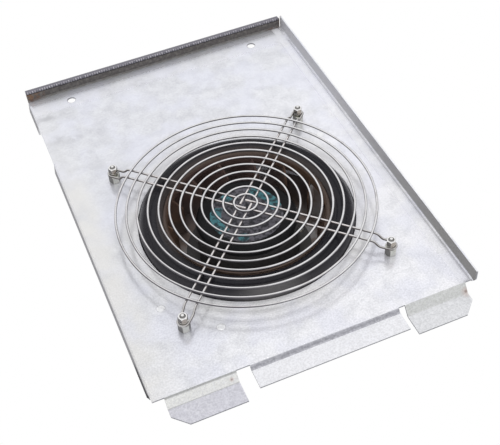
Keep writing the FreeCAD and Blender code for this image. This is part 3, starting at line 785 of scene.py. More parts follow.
@dataclass(frozen=True)
class RotorPaint(PaintedBlack):
    """Paint of the rotor, dustier towards the flange that carries the impeller, with its side wall painted
    lighter as painted light.
    """

    slot: Slot = Slot.ROTOR
    paint: Colour = (0.008, 0.008, 0.009)
    dust: Colour = (0.095, 0.093, 0.094)
    dust_share: float = 0.12
    gloss_roughness: float = 0.40
    gloss: float = 0.15
    painted_wall_light: float = 0.8
    low_dust: Colour = (0.085, 0.082, 0.082)

    def _wear_and_sheen(self, graph: Graph, colour: Value) -> Value:
        """Colour with the dust near the flange.

        Args:
            graph: Graph of the finish's material.
            colour: Colour of the surface so far.

        Returns:
            The colour with its dust near the flange.
        """
        bottom = NodeBox.of("rotor_flange").low.z
        low = graph.fade(graph.axes[2], bottom + 32 * MM, bottom + 6 * MM)
        return graph.mix(low, colour, self.low_dust)


@dataclass(frozen=True)
class PlatedMetal(Finish):
    """Bright or dull metal plating with fine tarnish."""

    slot: Slot
    plating: Colour
    tarnish: Colour
    polish_roughness: float = 0.2
    grain: float = 1.5 * MM
    tarnish_share: float = 0.5

    def shade(self, graph: Graph) -> None:
        """Build the plating's nodes.

        Args:
            graph: Graph of the finish's material.
        """
        blotch = graph.fade(graph.noise(6 * self.grain, 4.0), 0.4, 0.72)
        fine = graph.noise(self.grain, 2.0)
        graph.surface(
            base_color=graph.mix(blotch * self.tarnish_share, self.plating, self.tarnish),
            metallic=1.0,
            roughness=self.polish_roughness + 0.12 * blotch + 0.06 * fine,
            normal=graph.bump(fine, 0.02 * MM, 0.25),
        )


@dataclass(frozen=True)
class GuardWire(Finish):
    """Bright drawn wire with painted shade on its flanks, deepest on the outer side at the front left, rings
    darker towards the left, and arms warmer than the rings, partly as a painted reflection of the brown
    impeller.
    """

    slot: Slot = Slot.WIRE
    ring: Colour = (0.85, 0.84, 0.845)
    ring_at_left: Colour = (0.80, 0.785, 0.79)
    arm: Colour = (0.80, 0.73, 0.70)
    arm_tip: Colour = (0.60, 0.585, 0.575)
    grime_and_shade: Colour = (0.16, 0.15, 0.165)
    arm_shade: Colour = (0.105, 0.088, 0.085)
    tarnish: Colour = (0.46, 0.43, 0.43)
    shaded_side: tuple[float, float] = (-0.87, -0.5)

    def shade(self, graph: Graph) -> None:
        """Build the wire's nodes.

        Args:
            graph: Graph of the finish's material.
        """
        along_x, _, height = graph.axes
        arm_top = NodeBox.of("guard_arms").high.z
        on_ring = graph.fade(height, arm_top - 0.4 * MM, arm_top + 0.2 * MM)
        # The rings are painted darker towards the left.
        ring = graph.mix(graph.fade(along_x, -80 * MM, 0), self.ring_at_left, self.ring)
        # The arms are painted warmer where they pass over the brown impeller, partly as its painted
        # reflection, and greyer at their tips.
        arm = graph.mix(graph.fade(graph.radius, 100 * MM, 112 * MM), self.arm, self.arm_tip)
        blotch = graph.fade(graph.noise(8 * MM, 4.0), 0.45, 0.72)
        colour = graph.mix(blotch * 0.35, graph.mix(on_ring, arm, ring), self.tarnish)
        flank = on_ring * self._ring_flank(graph) + (1 - on_ring) * self._arm_flank(graph)
        graph.surface(
            base_color=graph.mix(flank, colour, graph.mix(on_ring, self.arm_shade, self.grime_and_shade)),
            metallic=0.45 + 0.55 * on_ring - 0.3 * flank,
            roughness=0.15 + 0.1 * blotch + 0.25 * flank,
            normal=graph.bump(graph.noise(1.5 * MM, 2.0), 0.02 * MM, 0.2),
        )

    def _ring_flank(self, graph: Graph) -> Value:
        """Painted shade on the sides of the rings, deepest on the outer side at the front left.

        Args:
            graph: Graph of the finish's material.

        Returns:
            Mask of the painted shade on the sides.
        """
        along_x, along_y, _ = graph.axes
        face_x, face_y, face_z = graph.facing
        outward = (face_x * along_x + face_y * along_y) / graph.radius
        front_left = (along_x * self.shaded_side[0] + along_y * self.shaded_side[1]) / graph.radius
        # Painted shade: the rings' outer sides at the front left are painted darkest.
        painted_shade = graph.fade(outward, 0.35, 0.65) * graph.fade(front_left, 0.5, 0.85)
        return graph.either(graph.fade(face_z, 0.88, 0.30), painted_shade)

    def _arm_flank(self, graph: Graph) -> Value:
        """Painted shade on the sides of the arms, which run along the plate's diagonals.

        Args:
            graph: Graph of the finish's material.

        Returns:
            Mask of the painted shade on the sides.
        """
        along_x, along_y, _ = graph.axes
        face_x, face_y, _ = graph.facing
        turn = graph.math("SIGN", along_x * along_y)
        return graph.fade(abs(face_x - turn * face_y) * math.sqrt(0.5), 0.50, 0.85)


@dataclass(frozen=True)
class PlatedHardware(Finish):
    """Zinc plate: dull and greenish on the stand-offs and below, bright on the nuts above them, with painted
    shade on the stand-offs' side faces and a painted dark ring round each screw's top.
    """

    slot: Slot = Slot.HARDWARE
    dull: Colour = (0.76, 0.76, 0.70)
    tarnish: Colour = (0.55, 0.55, 0.48)
    bright: Colour = (0.90, 0.89, 0.88)
    warm: Colour = (0.48, 0.435, 0.38)
    painted_shade: Colour = (0.15, 0.145, 0.138)
    guard_half: float = 100 * MM
    ring_inner: float = 1.5 * MM
    ring_outer: float = 2.6 * MM

    def shade(self, graph: Graph) -> None:
        """Build the plating's nodes.

        Args:
            graph: Graph of the finish's material.
        """
        seat = NodeBox.of("guard_arms").low.z
        polished = graph.fade(graph.axes[2], seat + 1 * MM, seat + 3 * MM)
        blotch = graph.fade(graph.noise(7 * MM, 4.0), 0.4, 0.7)
        fine = graph.noise(1.2 * MM, 2.0)
        worn_and_highlight = graph.mix(blotch * 0.7, self.dull, self.tarnish)
        upright = graph.upright()
        flats = graph.fade(abs(graph.facing[1]), 0.93, 0.7)
        colour = graph.mix(polished, worn_and_highlight, graph.mix(upright, self.bright, self.warm))
        # Painted shade: a dark ring round each screw on the nut tops, and the stand-offs' angled side faces
        # painted dark.
        ring = graph.within(self._from_screw(graph), self.ring_inner, self.ring_outer, 0.3 * MM)
        painted_shade_mask = graph.either(upright * flats, ring * polished * (1 - upright))
        graph.surface(
            base_color=graph.mix(painted_shade_mask * 0.9, colour, self.painted_shade),
            metallic=1.0,
            roughness=0.30 - 0.2 * polished + 0.08 * fine,
            normal=graph.bump(fine, 0.02 * MM, 0.25),
        )

    def _from_screw(self, graph: Graph) -> Value:
        """Distance from the nearest of the guard's four screws."""
        across, along = (abs(axis) - self.guard_half for axis in graph.axes[:2])
        return graph.math("SQRT", across * across + along * along)


@dataclass(frozen=True)
class GrommetRubber(Finish):
    """Soft black rubber with a dusty bloom."""

    slot: Slot = Slot.GROMMET
    rubber: Colour = (0.018, 0.018, 0.018)
    bloom: Colour = (0.06, 0.058, 0.055)

    def shade(self, graph: Graph) -> None:
        """Build the rubber's nodes.

        Args:
            graph: Graph of the finish's material.
        """
        bloom = graph.fade(graph.noise(3 * MM, 4.0), 0.4, 0.75)
        graph.surface(
            base_color=graph.mix(bloom, self.rubber, self.bloom),
            roughness=0.6 + 0.2 * bloom,
            normal=graph.bump(graph.noise(0.4 * MM, 2.0), 0.02 * MM, 0.4),
        )


@dataclass(frozen=True)
class LayeredMetal(Finish):
    """Metal in fine layers across the fan's axis, as stacked laminations or wound wire."""

    slot: Slot
    crest: Colour
    groove: Colour
    pitch: float

    def shade(self, graph: Graph) -> None:
        """Build the layers' nodes.

        Args:
            graph: Graph of the finish's material.
        """
        wave = graph.math("SINE", graph.axes[2] * (2 * math.pi / self.pitch)) * 0.5 + 0.5
        patch = graph.noise(8 * MM, 3.0)
        graph.surface(
            base_color=graph.mix(wave * 0.7 + patch * 0.3, self.groove, self.crest),
            metallic=0.9,
            roughness=0.32 + 0.2 * patch,
            normal=graph.bump(wave, 0.1 * MM, 0.5),
        )


@dataclass(frozen=True)
class LabelFilm(Finish):
    """Plain film label: a broken teal band round a mauve-grey middle, rubbed and with no words."""

    slot: Slot = Slot.LABEL
    teal: Colour = (0.062, 0.215, 0.245)
    mauve: Colour = (0.118, 0.112, 0.133)
    rubbed: Colour = (0.018, 0.019, 0.023)
    band_start: float = 0.67
    sectors: tuple[tuple[float, float], ...] = ((172.0, 17.0), (27.0, 19.0), (-118.0, 5.5), (109.0, 6.0))

    def shade(self, graph: Graph) -> None:
        """Build the label's nodes.

        Args:
            graph: Graph of the finish's material.
        """
        edge = NodeBox.of("rotor_label").high.x
        inner = edge * self.band_start
        band = graph.fade(graph.radius, inner, inner + 2 * MM)
        mottle = graph.fade(graph.noise(3.4 * MM, 4.0), 0.42, 0.60)
        printed: Value | Colour = self.mauve
        for angle, reach in self.sectors:
            turn = math.radians(angle)
            middle = Vector((math.cos(turn), math.sin(turn), 0)) * (inner + edge) / 2
            middle.z = NodeBox.of("rotor_label").high.z
            sector = graph.near(middle, (reach - 1.5) * MM, (reach + 0.5) * MM)
            printed = graph.mix(band * sector, printed, self.teal)
        graph.surface(
            base_color=graph.mix(mottle * 0.85, printed, self.rubbed),
            roughness=0.34 + 0.25 * mottle,
            specular_ior_level=0.4,
        )


@dataclass(frozen=True)
class ImpellerCoat(Finish):
    """Brown coating of the impeller: darker on its rim, painted darker and greyer at the back as shade,
    dusty on its disc.
    """

    slot: Slot = Slot.IMPELLER
    coat: Colour = (0.235, 0.135, 0.085)
    shade_coat: Colour = (0.115, 0.072, 0.051)
    back_shade: Colour = (0.150, 0.098, 0.092)
    rim: Colour = (0.070, 0.045, 0.034)
    disc_dust: Colour = (0.36, 0.35, 0.35)

    def shade(self, graph: Graph) -> None:
        """Build the coating's nodes.

        Args:
            graph: Graph of the finish's material.
        """
        _, along_y, height = graph.axes
        dusty = graph.fade(graph.noise(16 * MM, 5.0), 0.4, 0.75)
        fine = graph.noise(1.2 * MM, 3.0)
        colour = graph.mix(dusty * 0.8 + fine * 0.2, self.shade_coat, self.coat)
        # Painted shade: the coat is painted darker and greyer towards the back.
        colour = graph.mix(graph.fade(along_y, 32 * MM, 70 * MM, 0, 0.8), colour, self.back_shade)
        rim_top = NodeBox.of("impeller_shroud").high.z
        colour = graph.mix(graph.fade(height, rim_top - 2.5 * MM, rim_top - 0.8 * MM), colour, self.rim)
        disc_top = NodeBox.of("impeller_backplate").high.z
        on_disc = graph.fade(height, disc_top + 0.5 * MM, disc_top + 0.1 * MM)
        dust = graph.fade(graph.noise(9 * MM, 4.0), 0.3, 0.6, 0.35, 1.0)
        # Painted shade: the pale dust on the disc is painted weaker towards the back.
        dust = dust * graph.fade(along_y, 45 * MM, 12 * MM, 0.2, 1.0)
        low = graph.fade(height, disc_top + 26 * MM, disc_top + 2 * MM) * 0.25
        graph.surface(
            base_color=graph.mix(graph.either(on_disc * dust, low), colour, self.disc_dust),
            roughness=0.40 + 0.25 * dusty,
            specular_ior_level=0.45,
            normal=graph.bump(fine, 0.04 * MM, 0.3),
        )


FINISHES: tuple[Finish, ...] = (
    GalvanisedSheet(),
    TrimPlastic(),
    NozzlePaint(),
    GuardWire(),
    PlatedHardware(),
    PlatedMetal(Slot.CASTING, (0.58, 0.59, 0.60), (0.36, 0.36, 0.36), 0.42, 1.0 * MM, 0.5),
    GrommetRubber(),
    PlatedMetal(Slot.BEARING, (0.62, 0.62, 0.62), (0.40, 0.39, 0.37), 0.18, 1.5 * MM, 0.4),
    LayeredMetal(Slot.LAMINATION, (0.30, 0.30, 0.31), (0.12, 0.12, 0.12), 0.65 * MM),
    LayeredMetal(Slot.WINDING, (0.72, 0.30, 0.12), (0.25, 0.08, 0.03), 0.9 * MM),
    RotorPaint(),
    LabelFilm(),
    ImpellerCoat(),
)


class Cell(Enum):
    """Cells of a mesh that are selected by a test."""

    FACE = "faces"
    VERTEX = "verts"


class Bench:
    """Blender's modelling operators, used the way a modeller works by hand."""

    @staticmethod
    def clear() -> None:
        """Leave edit mode and deselect everything."""
        if bpy.context.mode != "OBJECT":
            bpy.ops.object.mode_set(mode="OBJECT")
        bpy.ops.object.select_all(action="DESELECT")

    @classmethod
    def pick(cls, *pieces: bpy.types.Object) -> bpy.types.Object:
        """Select some pieces alone and make the first one active.

        Args:
            *pieces: Pieces to select.

        Returns:
            The active piece.
        """
        cls.clear()
        for piece in pieces:
            piece.select_set(True)
        bpy.context.view_layer.objects.active = pieces[0]
        return pieces[0]

    @classmethod
    def settle(cls, piece: bpy.types.Object, name: str) -> bpy.types.Object:
        """Name a piece and put its place, turn and scale into its mesh.

        Args:
            piece: Piece to settle.
            name: Its new name.

        Returns:
            The same piece.
        """
        cls.pick(piece)
        bpy.ops.object.transform_apply(location=True, rotation=True, scale=True)
        piece.name = name
        piece.data.name = name
        return piece

    @classmethod
    def block(cls, low: Vector, high: Vector, name: str) -> bpy.types.Object:
        """Box between two corners.

        Args:
            low: Lowest corner.
            high: Highest corner.
            name: Name of the piece.

        Returns:
            The box.
        """
        cls.clear()
        bpy.ops.mesh.primitive_cube_add(size=1, location=(low + high) / 2)
        piece = bpy.context.object
        piece.scale = high - low
        return cls.settle(piece, name)

    @classmethod
    def round_bar(cls, radius: float, bottom: float, top: float, sides: int, name: str) -> bpy.types.Object:
        """Upright prism or cylinder on the fan's axis, with a corner on the X axis.

        Args:
            radius: Distance of its corners from the axis.
            bottom: Level of its lower end.
            top: Level of its upper end.
            sides: How many sides it has.
            name: Name of the piece.

        Returns:
            The bar.
        """
        cls.clear()
        bpy.ops.mesh.primitive_cylinder_add(
            vertices=sides, radius=radius, depth=top - bottom, location=(0, 0, (bottom + top) / 2),
            rotation=(0, 0, math.radians(90)),
        )
        return cls.settle(bpy.context.object, name)

    @classmethod
    def edit(cls, piece: bpy.types.Object, mode: str = "FACE") -> None:
        """Open a piece in edit mode with nothing selected.

        Args:
            piece: Piece to open.
            mode: Kind of cell that is selected.
        """
        cls.pick(piece)
        bpy.ops.object.mode_set(mode="EDIT")
        bpy.ops.mesh.select_mode(type=mode)
        bpy.ops.mesh.select_all(action="DESELECT")

    @staticmethod
    def select(piece: bpy.types.Object, kind: Cell, test: Callable[[Any], bool]) -> None:
        """Select the cells of a piece in edit mode that pass a test, and no others.

        Args:
            piece: Piece that is open in edit mode.
            kind: Kind of cell that is tested.
            test: Tells of one cell whether it is selected.
        """
        mesh = bmesh.from_edit_mesh(piece.data)
        for cell in getattr(mesh, kind.value):
            cell.select_set(test(cell))
        mesh.select_flush_mode()
        bmesh.update_edit_mesh(piece.data)

    @staticmethod
    def close_up() -> None:
        """Fill the holes of the piece in edit mode and turn its faces outwards."""
        bpy.ops.mesh.select_all(action="SELECT")
        bpy.ops.mesh.fill_holes(sides=0)
        bpy.ops.mesh.select_all(action="SELECT")
        bpy.ops.mesh.normals_make_consistent(inside=False)

    @classmethod
    def bore(cls, piece: bpy.types.Object, margin: float) -> None:
        """Cut an upright bore from a piece's top to its bottom face.

        Args:
            piece: Piece to cut.
            margin: Width of the rim that stays round the bore.
        """
        cls.edit(piece)
        heights = [vertex.co.z for vertex in piece.data.vertices]
        ends = (min(heights), max(heights))
        reach = (ends[1] - ends[0]) * 0.01
        cls.select(
            piece,
            Cell.FACE,
            lambda face: min(abs(face.calc_center_median().z - end) for end in ends) < reach,
        )
        bpy.ops.mesh.inset(thickness=margin, use_individual=True)
        bpy.ops.mesh.bridge_edge_loops()
        cls.clear()

    @classmethod
    def modify(cls, piece: bpy.types.Object, kind: str, **settings: Any) -> None:
        """Add a modifier with its settings and apply it.

        Args:
            piece: Piece to change.
            kind: Blender's type name of the modifier.
            **settings: Properties of the modifier.
        """
        cls.pick(piece)
        modifier = piece.modifiers.new(kind.title(), kind)
        for name, setting in settings.items():
            setattr(modifier, name, setting)
        bpy.ops.object.modifier_apply(modifier=modifier.name)

    @classmethod
    def carve(cls, piece: bpy.types.Object, tool: bpy.types.Object, operation: str) -> None:
        """Cut a piece by a tool, or keep what they share, and throw the tool away."""
        cls.modify(piece, "BOOLEAN", object=tool, operation=operation, solver="EXACT")
        bpy.data.objects.remove(tool)

    @classmethod
    def bevel(cls, piece: bpy.types.Object, width: float, angle: float = 30.0, segments: int = 2) -> None:
        """Round the sharp edges of a piece.

        Args:
            piece: Piece to round.
            width: Width of the rounding.
            angle: Least angle of a sharp edge, in degrees.
            segments: How many strips the rounding has.
        """
        cls.modify(
            piece, "BEVEL", width=width, segments=segments, limit_method="ANGLE",
            angle_limit=math.radians(angle),
        )

    @classmethod
    def smooth(cls, piece: bpy.types.Object, angle: float = 40.0) -> None:
        """Shade a piece smooth, but for edges sharper than an angle in degrees."""
        cls.pick(piece)
        bpy.ops.object.shade_smooth_by_angle(angle=math.radians(angle))

    @classmethod
    def row(cls, piece: bpy.types.Object, step: Vector, count: int) -> None:
        """Repeat a piece along a step, opened where its copies meet and closed at both ends.

        Args:
            piece: First piece of the row, flat at the ends where the copies meet.
            step: Way from one copy to the next.
            count: How many copies the row has.
        """
        heading = step.normalized()
        cls.edit(piece)
        cls.select(piece, Cell.FACE, lambda face: abs(face.normal.dot(heading)) > 0.999)
        bpy.ops.mesh.delete(type="FACE")
        cls.modify(
            piece, "ARRAY", count=count, use_relative_offset=False, use_constant_offset=True,
            constant_offset_displace=step, use_merge_vertices=True, merge_threshold=0.005 * MM,
        )
        cls.edit(piece)
        cls.close_up()
        cls.clear()

    @classmethod
    def copies(cls, piece: bpy.types.Object, spots: Sequence[Vector]) -> bpy.types.Object:
        """Move a piece to the last spot, put copies at the others, and join them all.

        Args:
            piece: Piece on the fan's axis.
            spots: Ways from the axis to each place.

        Returns:
            All copies as one piece.
        """
        name = piece.name
        made = []
        for index, spot in enumerate(spots):
            cls.pick(piece)
            if index < len(spots) - 1:
                bpy.ops.object.duplicate(linked=False)
            bpy.ops.transform.translate(value=spot)
            made.append(bpy.context.object)
        return cls.join(made, name)

    @classmethod
    def join(cls, pieces: Sequence[bpy.types.Object], name: str) -> bpy.types.Object:
        """Join pieces into one.

        Args:
            pieces: Pieces to join.
            name: Name of the joined piece.

        Returns:
            The joined piece.
        """
        joined = cls.pick(*pieces)
        if len(pieces) > 1:
            bpy.ops.object.join()
        return cls.settle(joined, name)


class WirePen:
    """Draws round wire by extruding its section along runs and spinning it round bends."""

    SIDES = 14
    BEND_STEP = math.radians(7.5)

    def __init__(self, start: Vector, heading: Vector, radius: float) -> None:
        """Put the wire's section down.

        Args:
            start: Middle of the wire's first end.
            heading: Direction in which the wire starts.
            radius: Half the wire's thickness.
        """
        Bench.clear()
        bpy.ops.mesh.primitive_circle_add(
            vertices=self.SIDES, radius=radius, location=start,
            rotation=heading.to_track_quat("Z", "Y").to_euler(),
        )
        self.piece = Bench.settle(bpy.context.object, "wire")
        self.at = start.copy()
        self.heading = heading.normalized()
        bpy.ops.object.mode_set(mode="EDIT")
        bpy.ops.mesh.select_mode(type="EDGE")
        bpy.ops.mesh.select_all(action="SELECT")

    def run(self, length: float) -> None:
        """Draw a straight run.

        Args:
            length: Length of the run.
        """
        step = self.heading * length
        bpy.ops.mesh.extrude_region_move(TRANSFORM_OT_translate={"value": step})
        self.at += step

    def bend(self, side: Vector, angle: float, radius: float) -> None:
        """Bend the wire.

        Args:
            side: Direction square to the wire that it bends towards.
            angle: How far it turns, in radians.
            radius: Radius of the bend at the wire's middle.
        """
        centre = self.at + side * radius
        bpy.ops.mesh.spin(
            steps=max(3, round(angle / self.BEND_STEP)), angle=angle, center=centre,
            axis=side.cross(self.heading),
        )
        ahead = self.heading
        self.heading = ahead * math.cos(angle) + side * math.sin(angle)
        self.at = centre - (side * math.cos(angle) - ahead * math.sin(angle)) * radius

    def finish(self, name: str) -> bpy.types.Object:
        """Close both ends of the wire.

        Args:
            name: Name of the wire.

        Returns:
            The wire.
        """
        bpy.ops.mesh.select_all(action="SELECT")
        bpy.ops.mesh.remove_doubles(threshold=0.001 * MM)
        Bench.close_up()
        return Bench.settle(self.piece, name)


class Dresser:
    """Gives each node its material, and each new piece its material and body."""

    def __init__(self, frame: Mapping[str, Any]) -> None:
        """Make the materials of a loaded frame.
        """
        self.nodes = frame["nodes"]
        self.slot_of = {row["node"]: row["material_slot"] for row in frame["record"]["subparts"]}
        self.materials = {finish.slot: finish.material() for finish in FINISHES}

    def dress_nodes(self) -> None:
        """Give every node of the frame the material of its slot."""
        for name, node in self.nodes.items():
            node.data.materials.clear()
            node.data.materials.append(self.materials[Slot(self.slot_of[name])])

    def add(self, piece: bpy.types.Object, body: Body, slot: Slot, *replaced: str) -> None:
        """Dress a new piece, let it ride on a body and stand for nodes.

        Args:
            piece: Finished piece at the origin.
            body: Body that it moves with.
            slot: Finish that it takes.
            *replaced: Nodes that it stands for.
        """
        piece.data.materials.clear()
        piece.data.materials.append(self.materials[slot])
        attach(piece, body.value)
        if replaced:
            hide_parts(*replaced)
        LOG.info("%s: %d faces on %s", piece.name, len(piece.data.polygons), body.value)


@dataclass
class SheetMetal:
    """Sheet piece of the frame, copied with its cut edges rounded a little."""

    node: str
    edge_radius: float = 0.18 * MM
    weld: float = 0.002 * MM
    flat_angle: float = 0.15

    def build(self, dresser: Dresser) -> None:
        """Copy the node, merge its triangles to flat faces, round its edges and dress it.

        Args:
            dresser: Dresser of the fan's pieces.
        """
        Bench.clear()
        piece = bpy.data.objects.new(f"{self.node}_sheet", dresser.nodes[self.node].data.copy())
        bpy.context.scene.collection.objects.link(piece)
        Bench.pick(piece)
        bpy.ops.mesh.customdata_custom_splitnormals_clear()
        Bench.edit(piece)
        bpy.ops.mesh.select_all(action="SELECT")
        bpy.ops.mesh.remove_doubles(threshold=self.weld)
        bpy.ops.mesh.dissolve_limited(angle_limit=math.radians(self.flat_angle))
        Bench.bevel(piece, self.edge_radius)
        Bench.smooth(piece)
        Bench.modify(piece, "WEIGHTED_NORMAL", mode="FACE_AREA", weight=100)
        dresser.add(piece, Body.FRAME, Slot.SHEET, self.node)


@dataclass
class EdgeTrim:
    """Ribbed U-profile pushed over the back flange: two legs under a wider crown."""

    rib_pitch: float = 2.5 * MM
    rib_round: float = 0.3 * MM
    slot_width: float = 1.6 * MM
    crown_wall: float = 1.7 * MM
    crown_h: float = 2.1 * MM
    groove_h: float = 0.8 * MM
    leg_share: float = 0.88
    groove_share: float = 0.74

    def widen(self, centre: Vector, share: float) -> None:
        """Step the selected top face in or out across the trim."""
        bpy.ops.mesh.extrude_region_move()
        bpy.ops.transform.resize(value=(1, share, 1), center_override=centre)

    def rib(self, room: NodeBox, pitch: float) -> bpy.types.Object:
        """One rib of the trim at its left end.

        Args:
            room: Box that the trim fills.
            pitch: Length of the rib along the trim.

        Returns:
            The rib, with the slot for the flange cut into it.
        """
        half_leg = room.size.y * self.leg_share / 2
        groove_bottom = room.high.z - self.crown_h - self.groove_h
        rib = Bench.block(
            Vector((room.low.x, room.centre.y - half_leg, room.low.z)),
            Vector((room.low.x + pitch, room.centre.y + half_leg, groove_bottom)),
            "edge_trim_ribs",
        )
        Bench.edit(rib)
        Bench.select(rib, Cell.FACE, lambda face: face.normal.z > 0.9)
        self.widen(room.centre, self.groove_share / self.leg_share)
        bpy.ops.mesh.extrude_region_move(TRANSFORM_OT_translate={"value": (0, 0, self.groove_h)})
        self.widen(room.centre, 1 / self.groove_share)
        bpy.ops.mesh.extrude_region_move(TRANSFORM_OT_translate={"value": (0, 0, self.crown_h)})
        Bench.clear()
        Bench.bevel(rib, self.rib_round)
        overcut = 1 * MM
        half_slot = self.slot_width / 2
        end = room.low.x + pitch + overcut
        tool = Bench.block(
            Vector((room.low.x - overcut, room.centre.y - half_slot, room.low.z - overcut)),
            Vector((end, room.centre.y + half_slot, room.high.z - self.crown_wall)),
            "trim_slot",
        )
        Bench.carve(rib, tool, "DIFFERENCE")
        return rib

    def build(self, dresser: Dresser) -> None:
        """Model one rib, repeat it along the flange and dress the trim.

        Args:
            dresser: Dresser of the fan's pieces.
        """
        room = NodeBox.of("edge_trim")
        count = round(room.size.x / self.rib_pitch)
        pitch = room.size.x / count
        trim = self.rib(room, pitch)
        Bench.row(trim, X_AXIS * pitch, count)
        Bench.smooth(trim, 50)
        dresser.add(trim, Body.FRAME, Slot.TRIM, "edge_trim")


@dataclass
class WireGuard:
    """Wire guard: concentric rings on four hairpin arms, spot welded where they cross."""

    ring_count: int = 12
    first_ring_r: float = 11.0 * MM
    arm_half_gap: float = 5.0 * MM
    arm_end_gap: float = 1.8 * MM
    bend_r: float = 5.0 * MM
    bend_start: float = 2.4 * MM
    bend_angle: float = math.radians(45)
    screw_square: float = 200.0 * MM
    ring_segments: int = 168
    seam_start: float = 18.0
    seam_step: float = 97.0
    upset_swell: float = 1.16
    upset_reach: float = 1.2
    nugget_r: float = 1.35 * MM
    nugget_h: float = 0.75 * MM

    def __post_init__(self) -> None:
        """Read the wire's thickness and levels from the frame."""
        rings = NodeBox.of("guard_rings")
        arms = NodeBox.of("guard_arms")
        self.wire_r = rings.size.z / 2
        self.ring_z = rings.centre.z
        self.arm_z = arms.high.z - self.wire_r
        self.eye_z = arms.low.z + self.wire_r
        self.last_ring_r = rings.high.x - self.wire_r
        step = (self.last_ring_r - self.first_ring_r) / (self.ring_count - 1)
        self.radii = [self.first_ring_r + step * index for index in range(self.ring_count)]

    def ring(self, index: int) -> bpy.types.Object:
        """One ring with the swollen butt weld that closes it.

        Args:
            index: Number of the ring, from the inside.

        Returns:
            The ring.
        """
        radius = self.radii[index]
        Bench.clear()
        bpy.ops.mesh.primitive_torus_add(
            major_radius=radius, minor_radius=self.wire_r, major_segments=self.ring_segments,
            minor_segments=WirePen.SIDES, location=(0, 0, self.ring_z),
        )
        piece = Bench.settle(bpy.context.object, "ring")
        turn = math.radians(self.seam_start + self.seam_step * index)
        seam = Vector((math.cos(turn), math.sin(turn), 0)) * radius
        seam.z = self.ring_z
        Bench.edit(piece, "VERT")
        segment = 2 * math.pi * radius / self.ring_segments
        reach = max(self.upset_reach * self.wire_r, 1.1 * segment)
        Bench.select(piece, Cell.VERTEX, lambda vertex: (vertex.co - seam).length < reach)
        bpy.ops.transform.resize(value=(self.upset_swell,) * 3, center_override=seam)
        Bench.clear()
        return piece

    def arm(self) -> bpy.types.Object:
        """Hairpin along +X: two legs under the rings, bent down to an eye at its screw.

        Returns:
            The arm.
        """
        lift = self.arm_z - self.eye_z
        reach = self.bend_r * math.tan(self.bend_angle / 2)
        slant = lift / math.sin(self.bend_angle) - 2 * reach
        bend_x = self.last_ring_r + self.bend_start
        eye_x = self.screw_square / math.sqrt(2)
        foot_x = bend_x + 2 * reach + lift / math.tan(self.bend_angle)
        long_end = self.wire_r + self.arm_end_gap - self.arm_half_gap
        short_end = math.sqrt(self.first_ring_r**2 - self.arm_half_gap**2)
        down = -Z_AXIS
        pen = WirePen(Vector((long_end, self.arm_half_gap, self.arm_z)), X_AXIS, self.wire_r)
        pen.run(bend_x - long_end)
        pen.bend(down, self.bend_angle, self.bend_r)
        pen.run(slant)
        pen.bend(self._square_to(pen.heading, Z_AXIS), self.bend_angle, self.bend_r)
        pen.run(eye_x - foot_x)
        pen.bend(-Y_AXIS, math.pi, self.arm_half_gap)
        pen.run(eye_x - foot_x)
        pen.bend(Z_AXIS, self.bend_angle, self.bend_r)
        pen.run(slant)
        pen.bend(self._square_to(pen.heading, down), self.bend_angle, self.bend_r)
        pen.run(bend_x - short_end)
        return pen.finish("arm")

    @staticmethod
    def _square_to(heading: Vector, side: Vector) -> Vector:
        """Part of a side that is square to a heading."""
        return (side - heading * side.dot(heading)).normalized()

    def around(self, piece: bpy.types.Object, name: str) -> bpy.types.Object:
        """Four copies of a piece, one to each corner of the guard.

        Args:
            piece: Piece along +X, which is removed.
            name: Name of the copies.

        Returns:
            The four copies as one piece.
        """
        made = []
        for index in range(4):
            Bench.pick(piece)
            bpy.ops.object.duplicate(linked=False)
            copy = bpy.context.object
            copy.rotation_euler.z = math.radians(45 + 90 * index)
            made.append(Bench.settle(copy, f"{name}_{index}"))
        bpy.data.objects.remove(piece)
        return Bench.join(made, name)

    def nuggets(self) -> bpy.types.Object:
        """Spot welds between the rings and one arm's two legs.

        Returns:
            The welds of an arm along +X.
        """
        Bench.clear()
        bpy.ops.mesh.primitive_uv_sphere_add(segments=12, ring_count=8, radius=1)
        bead = bpy.context.object
        bead.scale = (self.nugget_r, self.nugget_r, self.nugget_h)
        Bench.settle(bead, "weld_bead")
        level = (self.ring_z + self.arm_z) / 2
        spots = []
        for radius in self.radii:
            along = math.sqrt(radius**2 - self.arm_half_gap**2)
            for side in (1, -1):
                spots.append(Vector((along, side * self.arm_half_gap, level)))
        return Bench.copies(bead, spots)

    def build(self, dresser: Dresser) -> None:
        """Model the rings, arms and welds, and dress them.

        Args:
            dresser: Dresser of the fan's pieces.
        """
        rings = Bench.join([self.ring(index) for index in range(self.ring_count)], "guard_ring_wires")
        arms = self.around(self.arm(), "guard_arm_wires")
        welds = self.around(self.nuggets(), "guard_spot_welds")
        for piece in (rings, arms, welds):
            Bench.smooth(piece, 60)
        dresser.add(rings, Body.FRAME, Slot.WIRE, "guard_rings")
        dresser.add(arms, Body.FRAME, Slot.WIRE, "guard_arms")
        dresser.add(welds, Body.FRAME, Slot.WIRE)


